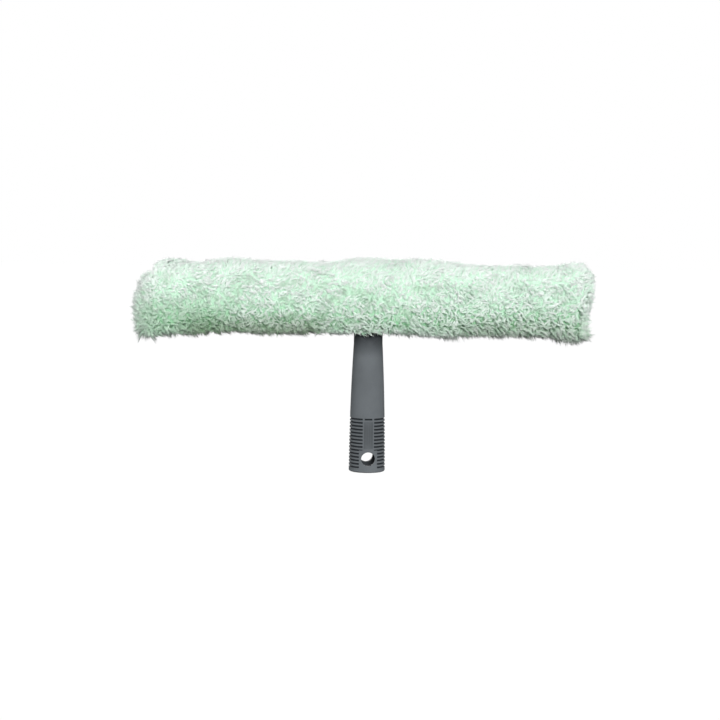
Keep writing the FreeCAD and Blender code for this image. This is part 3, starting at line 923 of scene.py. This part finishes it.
def sheet(name, patches, thickness, material):
    """Cloth made of patches. Each has its columns, its rows, its flat points and the rule for their places."""
    work = bmesh.new()
    pattern = work.loops.layers.uv.new("cloth")
    for columns, rows, flat_at, place_of in patches:
        flat = [[flat_at(i / columns, j / rows) for j in range(rows + 1)] for i in range(columns + 1)]
        verts = [[work.verts.new(place_of(*spot)) for spot in line] for line in flat]
        for i in range(columns):
            for j in range(rows):
                corners = [(i, j), (i + 1, j), (i + 1, j + 1), (i, j + 1)]
                add_face(work, [verts[a][b] for a, b in corners], pattern, [flat[a][b] for a, b in corners])
    bmesh.ops.remove_doubles(work, verts=work.verts, dist=0.001 * MM)
    return finished(work, name, material, thickness)


def on_the_way(low, high, share):
    return low + (high - low) * share


print("helpers for cloth ready")

# %% [markdown]
# ## Knit, tape and thread
# The backing's wrong side shows columns of small V shaped stitches, about a millimetre each. The PINGPONG
# step turns a rising number into such a zigzag. The binding is a twill tape with fine slanted ribs.
# The threads that sew all this together are twisted, which reads as slanted stripes along them. Each relief is
# also painted into the colour, with painted shade in its low places.

# %% Cloth materials
def flat_point(tree, pitch_along, pitch_across):
    """The cloth's flat coordinates, counted in stitches."""
    uv = out(tree, "ShaderNodeUVMap", uv_map="cloth")
    return uv.axis("X") / pitch_along, uv.axis("Y") / pitch_across


def zigzag(value):
    """0 to 1 and back again for each whole number."""
    return step("PINGPONG", value, 0.5) * 2.0


def textile(name, height, low, high, depth, roughness=0.85):
    """A cloth with a relief from 0 to 1, darkened with painted shade in its low places and light in its high
    ones.
    """
    material, tree, shader = new_material(name, roughness, specular=0.15)
    relief = height(tree)
    point = object_point(tree)
    shade = colour_ramp(noise(point, 40, 3), (0.35, (0.9, 0.9, 0.88)), (0.65, (1.0, 1.0, 1.0)))
    # Painted shade in the relief's low places
    colour = colour_mix(1.0, colour_ramp(relief, (0.0, low), (0.8, high)), shade, "MULTIPLY")
    connect(shader, "Base Color", colour)
    bump(shader, noise(point, 900, 3, 0.7) * 0.3 + relief, depth, 0.8)
    shader.inputs["Sheen Weight"].default_value = 0.3
    return material


def knit_height(tree):
    across, along = flat_point(tree, 1.1 * MM, 0.9 * MM)
    column = zigzag(across)
    return zigzag(column * 0.45 + along) * column ** 0.5


def twill_height(tree):
    along, across = flat_point(tree, 0.5 * MM, 0.5 * MM)
    return zigzag(along + across)


def plain_weave_height(tree):
    along, across = flat_point(tree, 0.7 * MM, 0.7 * MM)
    return step("MAXIMUM", zigzag(along), zigzag(across))


def twist_height(tree):
    point = object_point(tree)
    return zigzag((point.axis("X") + (point.axis("Y") + point.axis("Z"))) / (0.35 * MM))


knit = textile("backing_knit", knit_height, (0.42, 0.50, 0.44), (0.74, 0.80, 0.75), 0.25 * MM)
twill = textile("binding_twill", twill_height, (0.50, 0.54, 0.51), (0.76, 0.79, 0.77), 0.12 * MM)
hook_greys, loop_greys = ((0.40, 0.41, 0.41), (0.62, 0.63, 0.63)), ((0.52, 0.53, 0.53), (0.78, 0.79, 0.79))
hook_weave = textile("hook_tape_weave", plain_weave_height, *hook_greys, 0.08 * MM, 0.7)
loop_weave = textile("loop_tape_weave", plain_weave_height, *loop_greys, 0.08 * MM)
thread = textile("sewing_thread", twist_height, (0.55, 0.60, 0.56), (0.84, 0.87, 0.85), 0.05 * MM, 0.6)
print("cloth materials:", knit.name, twill.name, hook_weave.name, loop_weave.name, thread.name)

# %% [markdown]
# ## The cloth over the bar
# One length of cloth goes from its back hem up over the bar and down to its front hem. It is drawn tight,
# and only ripples by a tenth of a millimetre where the hooks of the lips pull at it.

# %% Sleeve's backing
HALF_LENGTH, CLOTH = 166.4 * MM, 1.2 * MM
SIDE, CORNER, CORNER_Y, CORNER_Z = 11.0 * MM, 6.0 * MM, 5.0 * MM, 148.9 * MM
BACK_HEM, FRONT_HEM = 121.8 * MM, 119.0 * MM
BACKING_GRID, END_GRID = (170, 48), (14, 24)
RIPPLE, RIPPLES = 0.1 * MM, 55
ARC = CORNER * math.pi / 2
GIRTH = (CORNER_Z - BACK_HEM) + ARC + 2 * CORNER_Y + ARC + (CORNER_Z - FRONT_HEM)


def over_the_bar(x, distance):
    """Place of a point of the cloth, so far from the back hem."""
    ripple = RIPPLE * waves.noise(Vector((x, distance, 0)) * RIPPLES)
    side, top, radius = SIDE + ripple, CORNER_Z + CORNER + ripple, CORNER + ripple
    if distance < CORNER_Z - BACK_HEM:
        return x, side, BACK_HEM + distance
    distance -= CORNER_Z - BACK_HEM
    if distance < ARC:
        angle = distance / CORNER
        return x, CORNER_Y + radius * math.cos(angle), CORNER_Z + radius * math.sin(angle)
    distance -= ARC
    if distance < 2 * CORNER_Y:
        return x, CORNER_Y - distance, top
    distance -= 2 * CORNER_Y
    if distance < ARC:
        angle = distance / CORNER
        return x, -CORNER_Y - radius * math.sin(angle), CORNER_Z + radius * math.cos(angle)
    return x, -side, CORNER_Z - (distance - ARC)


def length_of_cloth(a, b):
    return on_the_way(-HALF_LENGTH, HALF_LENGTH, a), GIRTH * b


backing = sheet("sleeve_backing", [(*BACKING_GRID, length_of_cloth, over_the_bar)], CLOTH, knit)
place(backing, "backing_cloth", "sleeve_cloth")
print("flat size of the backing in mm:", round(2000 * HALF_LENGTH), "by", round(1000 * GIRTH))

# %% [markdown]
# ## The ends
# A small piece of the same cloth closes each end. It is straight below and rounded above, like the bar.
# Its rows follow the straight sides first, and then the angle of the two rounded corners.

# %% End backings
END_X, END_HALF_WIDTH, END_FOOT = 167.0 * MM, 11.6 * MM, 117.6 * MM
END_CORNER = END_HALF_WIDTH - CORNER_Y


def end_cloth_point(a, b):
    """Flat point of an end. The lower two thirds of the rows are straight, and the others turn the corner."""
    if b < 2 / 3:
        half, height = END_HALF_WIDTH, on_the_way(END_FOOT, CORNER_Z, b * 1.5)
    else:
        angle = (b - 2 / 3) * 1.5 * math.pi
        half, height = CORNER_Y + END_CORNER * math.cos(angle), CORNER_Z + END_CORNER * math.sin(angle)
    return half * (2 * a - 1), height


for side, node in ((-1, "left_end_cloth"), (1, "right_end_cloth")):
    patch = (*END_GRID, end_cloth_point, lambda y, z: (side * END_X, y, z))
    end = sheet(node.replace("cloth", "backing"), [patch], CLOTH, knit)
    place(end, "backing_cloth", node)
    high = CORNER_Z + END_CORNER - END_FOOT
    area = 2 * END_HALF_WIDTH * high - (2 - math.pi / 2) * END_CORNER ** 2
    2 * END_HALF_WIDTH
    print(node, "flat area in mm2:", round(area * 1e6))

# %% [markdown]
# ## The lips
# Two lips close the sleeve under the bar, one over the other, and each is cut out round the neck.
# Each lip is five patches: one beside the neck, one on each side of it in front of the cut-out's corner,
# and one behind that. They share their edge points, so that the lip is one cloth.
# Depth is measured from the middle of the bar towards the wall that the lip hangs from, and is negative
# beyond the middle, where the free edge is. So both lips use the same rules.

# %% Lip backings
LIP_HALF, OUTER = 165.9 * MM, 11.6 * MM
CUT_X, CUT_DEPTH, CUT_ROUND = 13.0 * MM, 7.5 * MM, 6.0 * MM
CUT_START = CUT_DEPTH - CUT_ROUND
# Columns and rows of the patches, and the share of the columns beside the neck that turns each corner
ARM_GRID, NECK_GRID, TURN = (76, 6), (20, 6), 0.3
LIPS = {
    "front_lip": {"facing": -1, "reach": 5.0 * MM, "middle": 118.2 * MM, "area": 5198e-6},
    "back_lip": {"facing": 1, "reach": 7.0 * MM, "middle": 121.0 * MM, "area": 5821e-6},
}


def cut_corner(angle):
    """A point on the cut-out's rounded corner: how far out along the bar, and how deep."""
    return CUT_X - CUT_ROUND * (1 - math.cos(angle)), CUT_DEPTH - CUT_ROUND * (1 - math.sin(angle))


def cut_edge(depth):
    """How far out the cut-out reaches at a depth."""
    into = max(abs(depth) - CUT_START, 0)
    return CUT_X - CUT_ROUND + math.sqrt(CUT_ROUND ** 2 - into ** 2)


def beside_neck(a, b):
    """Flat point beside the neck: round one corner of the cut-out, straight, and round the other."""
    x, depth = cut_corner(min(a, 1 - a, TURN) / TURN * math.pi / 2)
    if a < TURN:
        x = -x
    elif a <= 1 - TURN:
        x, depth = on_the_way(x, -x, (1 - TURN - a) / (1 - 2 * TURN)), CUT_DEPTH
    return x, on_the_way(OUTER, depth, b)


def arm_patches(side, reach):
    """The two patches of one arm: up to the corner of the cut-out, and on to the free edge."""
    def first(a, b):
        return side * on_the_way(CUT_X, LIP_HALF, a), on_the_way(OUTER, CUT_START, b)

    def second(a, b):
        depth = on_the_way(CUT_START, -reach, b)
        return side * on_the_way(cut_edge(depth), LIP_HALF, a), depth

    return (*ARM_GRID, first), (*ARM_GRID, second)


def lip(name, facing, reach, middle):
    """facing is -1 for the front lip and 1 for the back one."""
    def place_of(x, depth):
        return x, facing * depth, middle

    patches = [(*NECK_GRID, beside_neck), *arm_patches(-1, reach), *arm_patches(1, reach)]
    return sheet(name, [(*patch, place_of) for patch in patches], CLOTH, knit)


lip_pieces = {}
for body, made in LIPS.items():
    lip_pieces[body] = lip(f"{body}_backing", made["facing"], made["reach"], made["middle"])
    place(lip_pieces[body], "backing_cloth", f"{body}_cloth")
    print(body, "in mm:", round(2000 * LIP_HALF), "by", round(1000 * (OUTER + made["reach"]), 1))

# %% [markdown]
# ## Sewing
# A row of lockstitch shows as short threads in a line, each sunk a little at its ends. A bump could draw them,
# but thread stands out from its cloth and is seen at its edge. The tree turns a path into a curve, sets
# a point on it for every stitch and puts a stretched ball there, turned along the path.

# %% Stitch tree
def instances(points, shape, rotation, **more):
    inputs = {"Points": points, "Instance": shape, "Rotation": rotation, **more}
    return out(points.tree, "GeometryNodeInstanceOnPoints", inputs)


def stitch_tree():
    tree, given = new_tree("stitches", Pitch="Float", Stitch="Float", Thread="Float", Material="Material")
    path = out(tree, "GeometryNodeMeshToCurve", {"Mesh": given["Geometry"]})
    inputs = {"Curve": path, "Length": given["Pitch"]}
    spots = out(tree, "GeometryNodeResampleCurve", inputs, mode="LENGTH")
    tangent = out(tree, "GeometryNodeInputTangent")
    turned = out(tree, "FunctionNodeAlignRotationToVector", {"Vector": tangent}, axis="X")
    ball = out(tree, "GeometryNodeMeshIcoSphere", {"Radius": 1.0, "Subdivisions": 1}, "Mesh")
    sides = {"X": given["Stitch"] * 0.5, "Y": given["Thread"], "Z": given["Thread"]}
    size = out(tree, "ShaderNodeCombineXYZ", sides)
    return finish_tree(instances(spots, ball, turned, Scale=size), given["Material"])


STITCH_TREE = stitch_tree()
STITCHES = {"Pitch": 2.6 * MM, "Stitch": 2.2 * MM, "Thread": 0.15 * MM, "Material": thread}


def stitches(name, slot, node, *paths):
    """Rows of stitches along paths of points."""
    verts = [point for path in paths for point in path]
    ends = [sum(len(path) for path in paths[:i + 1]) for i in range(len(paths))]
    edges = [(i, i + 1) for i in range(len(verts) - 1) if i + 1 not in ends]
    mesh = bpy.data.meshes.new(name)
    mesh.from_pydata(verts, edges, [])
    path = object_of(mesh, f"{name}_path")
    sewn = grown(path, STITCH_TREE, STITCHES, name)
    bpy.data.objects.remove(path)
    place(sewn, slot, node)
    return sewn


def straight(x_low, x_high, y, z):
    return [(on_the_way(x_low, x_high, i / 20), y, z) for i in range(21)]


hem_x, inside, hem_height = HALF_LENGTH - 6 * MM, SIDE - 0.62 * MM, 3 * MM
hems = stitches("hem_stitches", "backing_cloth", "sleeve_cloth",
                straight(-hem_x, hem_x, -inside, FRONT_HEM + hem_height),
                straight(-hem_x, hem_x, inside, BACK_HEM + hem_height))
print("hem stitches:", triangles(hems), "triangles")

# %% [markdown]
# ## Bindings round the neck
# The cut edge of each lip would fray where it rubs on the neck, so a twill tape is sewn round it.
# The tape is a band swept along the cut-out, flat against the cloth and crowned on its other side.
# A curve with a bevel could do that, but in rings of its own the band knows its length along the way,
# so its twill keeps one size all round.

# %% Bindings
# The band's section in millimetres: across the cloth, and down from it
BAND = [(-1, 0), (-1, -0.35), (-0.7, -0.6), (0, -0.7), (0.7, -0.6), (1, -0.35), (1, 0)]
BAND_STEP, STITCH_DROP = 0.4 * MM, 0.68 * MM
BAND_X, BAND_Y, BAND_ROUND = 14.0 * MM, 8.5 * MM, 6.0 * MM


def round_the_neck(facing, reach, level):
    """The middle line of the binding, as points, each with its way out from the neck."""
    start = -math.asin((reach - (BAND_Y - BAND_ROUND)) / BAND_ROUND)
    points = []
    for centre_y, low, high, count in (
        (BAND_ROUND - BAND_Y, start, 0, 5), (BAND_Y - BAND_ROUND, 0, math.pi / 2, 9)
    ):
        for i in range(count):
            angle = on_the_way(low, high, i / (count - 1))
            way = Vector((math.cos(angle), math.sin(angle), 0))
            points.append((Vector((BAND_X - BAND_ROUND, centre_y, 0)) + BAND_ROUND * way, way))
    mirrored = [(Vector((-p.x, p.y, 0)), Vector((-w.x, w.y, 0))) for p, w in reversed(points)]
    return [(Vector((p.x, facing * p.y, level)), Vector((w.x, facing * w.y, 0))) for p, w in points + mirrored]


def binding(name, line):
    """The band along a line, with closed ends."""
    work = bmesh.new()
    pattern = work.loops.layers.uv.new("cloth")
    rings, travelled, distance = [], [0.0], 0.0
    for i, (point, way) in enumerate(line):
        rings.append([work.verts.new(point + way * (w * MM) + Vector((0, 0, h * MM))) for w, h in BAND])
        if i:
            distance += (point - line[i - 1][0]).length
            travelled.append(distance)
    for i in range(len(rings) - 1):
        for j in range(len(BAND)):
            k = (j + 1) % len(BAND)
            spots = [(travelled[a], b * BAND_STEP) for a, b in ((i, j), (i + 1, j), (i + 1, j + 1), (i, j + 1))]
            add_face(work, [rings[i][j], rings[i + 1][j], rings[i + 1][k], rings[i][k]], pattern, spots)
    work.faces.new(rings[0])
    work.faces.new(rings[-1])
    return finished(work, name, twill)


for body, made in LIPS.items():
    node = body.replace("lip", "neck_binding")
    line = round_the_neck(made["facing"], made["reach"], made["middle"] - CLOTH / 2)
    band = binding(node.replace("binding", "band"), line)
    place(band, "binding_tape", node)
    low_line = [point - Vector((0, 0, STITCH_DROP)) for point, _ in line]
    sewn = stitches(f"{node}_stitches", "binding_tape", node, low_line)
    print(node, round(1000 * sum((a[0] - b[0]).length for a, b in zip(line, line[1:]))), "mm long")

# %% [markdown]
# ## Hooks and loops
# The front lip carries hook tape and the back lip loop tape, and pressed together they hold the sleeve shut.
# One tree makes both: a grid of points on the tape, and on each point an arc of wire, turned at random.
# A hook is an open arc of stiff wire. A loop is a nearly closed one of finer thread, tilted more.

# %% Fastener tree
OUT_OF_LINE, ARC_START, ARC_POINTS, WIRE_SIDES = (0.3 * MM, 0.3 * MM, 0.0), -1.4, 7, 3


def fastener_tree():
    tree, given = new_tree(
        "fastener", Columns="Int", Rows="Int", Length="Float", Width="Float", Middle="Vector",
        Height="Float", Wire="Float", Sweep="Float", Tilt="Float", Seed="Int", Material="Material"
    )
    inputs = {"Size X": "Length", "Size Y": "Width", "Vertices X": "Columns", "Vertices Y": "Rows"}
    grid = out(tree, "GeometryNodeMeshGrid", {key: given[name] for key, name in inputs.items()}, "Mesh")
    shift = random_arrow(tree, given["Seed"]) * OUT_OF_LINE
    spots = moved(grid, Offset=shift + given["Middle"])
    half = given["Height"] * 0.5
    inputs = {"Resolution": ARC_POINTS, "Start Angle": ARC_START, "Sweep Angle": given["Sweep"]}
    inputs["Radius"] = abs(half)
    arc = out(tree, "GeometryNodeCurveArc", inputs, mode="RADIUS")
    wire = out(tree, "GeometryNodeCurvePrimitiveCircle", {"Resolution": WIRE_SIDES, "Radius": given["Wire"]})
    inputs = {"Curve": arc, "Profile Curve": wire, "Fill Caps": True}
    bent = out(tree, "GeometryNodeCurveToMesh", inputs)
    inputs = {"Geometry": bent, "Rotation": (math.pi / 2, 0, 0), "Translation": arrow_up(tree, half)}
    stood = out(tree, "GeometryNodeTransform", inputs)
    turn = {"Z": random_number(tree, 0.0, 2 * math.pi, 5)}
    for axis, seed in (("X", 6), ("Y", 7)):
        turn[axis] = random_number(tree, -1.0, 1.0, seed) * given["Tilt"]
    turned = out(tree, "ShaderNodeCombineXYZ", turn)
    return finish_tree(instances(spots, stood, turned), given["Material"])


FASTENER_TREE = fastener_tree()
print("fastener tree has", len(FASTENER_TREE.nodes), "nodes")

# %% [markdown]
# ## Four tapes
# Each arm of the washer has one hook tape and one loop tape, sewn down along both long edges.
# All four have the same strip and the same rows of stitches, so one function makes them from a few facts.

# %% Tapes
TAPE = {"start": 18.0 * MM, "length": 135.9 * MM, "width": 10.0 * MM, "middle": -1.0 * MM, "web": 0.35 * MM}
TAPE_GRID, SELVEDGE, SEAM = (34, 4), (1.5 * MM, 1.7 * MM), 4.2 * MM
FASTENER_GRID = {"Columns": 88, "Rows": 6}
HOOKS = {"Height": 0.42 * MM, "Wire": 0.055 * MM, "Sweep": 3.9, "Tilt": 0.15, "Material": hook_weave}
LOOPS = {"Height": -0.42 * MM, "Wire": 0.03 * MM, "Sweep": 5.4, "Tilt": 0.7, "Material": loop_weave}
KINDS = {
    "hook_tape": {"sewn_to": 118.8 * MM, "up": 1, "weave": hook_weave, "fasteners": HOOKS},
    "loop_tape": {"sewn_to": 120.4 * MM, "up": -1, "weave": loop_weave, "fasteners": LOOPS},
}


def tape(side, kind, seed):
    """One tape: its woven strip, its hooks or loops, and its two rows of stitches."""
    node = f"{'left' if side < 0 else 'right'}_{kind}"
    made = KINDS[kind]
    level = made["sewn_to"] + made["up"] * TAPE["web"] / 2

    def flat_at(a, b):
        return side * (TAPE["start"] + TAPE["length"] * a), TAPE["width"] * (b - 0.5)

    def place_of(x, across):
        return x, TAPE["middle"] + across, level

    strip = sheet(f"{node}_strip", [(*TAPE_GRID, flat_at, place_of)], TAPE["web"], made["weave"])
    face = level + made["up"] * TAPE["web"] / 2
    middle = (side * (TAPE["start"] + TAPE["length"] / 2), TAPE["middle"], face)
    length, width = TAPE["length"] - 2 * SELVEDGE[0], TAPE["width"] - 2 * SELVEDGE[1]
    values = {**made["fasteners"], **FASTENER_GRID, "Length": length, "Width": width, "Middle": middle}
    field = grown(strip, FASTENER_TREE, {**values, "Seed": seed}, f"{node}_fasteners")
    for piece in (strip, field):
        place(piece, kind, node)
    x_low, x_high = sorted((flat_at(0.01, 0)[0], flat_at(0.99, 0)[0]))
    rows = [straight(x_low, x_high, TAPE["middle"] + edge, face) for edge in (-SEAM, SEAM)]
    sewn = stitches(f"{node}_stitches", kind, node, *rows)
    return triangles(strip, field, sewn)


for seed, (side, kind) in enumerate((side, kind) for side in (-1, 1) for kind in KINDS):
    print(kind, "side", side, "has", tape(side, kind, seed), "triangles")

# %% [markdown]
# ## Camera
# The photograph was taken from a little above the handle and a little to the left, with a long lens.
# Its whole frame is 576 mm wide at the washer, and the tool leans slightly to the right in it.

# %% Camera
FRAME_WIDTH, DISTANCE, SENSOR = 576 * MM, 1200 * MM, 36
AZIMUTH, ELEVATION, ROLL = math.radians(-4.0), math.radians(4.6), math.radians(0.66)
AIM = Vector((-6.4, 0, 89.2)) * MM

camera_data = bpy.data.cameras.new("camera")
camera_data.sensor_width = SENSOR
camera_data.lens = SENSOR * DISTANCE / FRAME_WIDTH
camera = object_of(camera_data, "camera")
back = Vector((math.sin(AZIMUTH), -math.cos(AZIMUTH), math.tan(ELEVATION))).normalized()
turn = (-back).to_track_quat("-Z", "Y").to_matrix().to_4x4() @ Matrix.Rotation(ROLL, 4, "Z")
camera.matrix_world = Matrix.Translation(AIM + DISTANCE * back) @ turn
bpy.context.scene.camera = camera
print("lens", round(camera_data.lens, 1), "mm")

# %% [markdown]
# ## Studio
# The washer is held up over a floor, as a hand or a pole holds it. The main lamp stands in front, a little
# above the camera. A weaker one shines from above, one from each side and one from behind, so that the
# washer can be looked at from anywhere, and an even sky fills the shadows.
# The white behind the washer is only what the camera sees of the floor and the sky. The rays that light
# it meet a dark floor and a dimmer sky, which keeps the underside of the fleece and the sides of the
# handle in shade. From below the floor is clear, so that the washer can be seen from there too.

# %% Floor, sky and lamps
FLOOR_DROP, FLOOR_HALF = 400 * MM, 30.0
FLOOR_COLOUR, FLOOR_LIFT = (0.20, 0.20, 0.20, 1.0), 0.82
WHITE = (1, 1, 1, 1)
SKY_LIGHT = 0.38
# Each lamp's strength, azimuth, elevation and softness. Azimuth 0 is in front, and positive to the right
LAMPS = {
    "lamp_above": (0.2, 4, 62, 40),
    "lamp_in_front": (2.78, 4, 17, 20),
    "lamp_at_left": (0.6, -80, 14, 50),
    "lamp_at_right": (0.4, 80, 14, 50),
    "lamp_behind": (2.1, 184, 18, 40),
}


def seen_directly(tree):
    """1 for rays that show the background itself, straight or in a reflection."""
    path = add(tree, "ShaderNodeLightPath").outputs
    kinds = "Camera", "Glossy", "Transmission"
    camera_ray, glossy, through = (Wire(path[f"Is {kind} Ray"]) for kind in kinds)
    return step("MAXIMUM", camera_ray, step("MAXIMUM", glossy, through))


def empty_tree(owner):
    owner.use_nodes = True
    owner.node_tree.nodes.clear()
    return owner.node_tree


def studio_floor():
    material = bpy.data.materials.new("studio_floor")
    tree = empty_tree(material)
    plain = out(tree, "ShaderNodeBsdfDiffuse", {"Color": FLOOR_COLOUR})
    glow = out(tree, "ShaderNodeEmission", {"Color": WHITE, "Strength": seen_directly(tree) * FLOOR_LIFT})
    both = out(tree, "ShaderNodeAddShader", {0: plain, 1: glow})
    from_below = out(tree, "ShaderNodeNewGeometry", output="Backfacing")
    clear = out(tree, "ShaderNodeBsdfTransparent")
    floor = out(tree, "ShaderNodeMixShader", {0: from_below, 1: both, 2: clear})
    add(tree, "ShaderNodeOutputMaterial", {"Surface": floor})
    mesh = bpy.data.meshes.new("floor")
    level = cad_low.z - FLOOR_DROP
    corners = [(-1, -1), (1, -1), (1, 1), (-1, 1)]
    mesh.from_pydata([(x * FLOOR_HALF, y * FLOOR_HALF, level) for x, y in corners], [], [(0, 1, 2, 3)])
    mesh.materials.append(material)
    object_of(mesh, "floor")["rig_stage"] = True


def studio_sky():
    world = bpy.data.worlds.new("studio_sky")
    bpy.context.scene.world = world
    tree = empty_tree(world)
    strength = between(seen_directly(tree), SKY_LIGHT, 1.0)
    sky = out(tree, "ShaderNodeBackground", {"Color": WHITE, "Strength": strength})
    add(tree, "ShaderNodeOutputWorld", {"Surface": sky})


def lamp(name, strength, azimuth, elevation, softness):
    """A broad soft lamp far away."""
    data = bpy.data.lights.new(name, "SUN")
    data.energy, data.angle = strength, math.radians(softness)
    a, e = math.radians(azimuth), math.radians(elevation)
    source = Vector((math.sin(a) * math.cos(e), -math.cos(a) * math.cos(e), math.sin(e)))
    object_of(data, name).rotation_euler = source.to_track_quat("Z", "Y").to_euler()


studio_floor()
studio_sky()
for name, values in LAMPS.items():
    lamp(name, *values)
bpy.context.scene.view_settings.view_transform = "Standard"
print("floor", round(FLOOR_DROP / MM), "mm under the handle")

# %% [markdown]
# ## Finish
# The size of the dressed washer is printed in millimetres, as the frame's size was at the start.

# %% Sizes
low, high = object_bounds()
print("dressed size in mm:", [round(side / MM) for side in high - low])
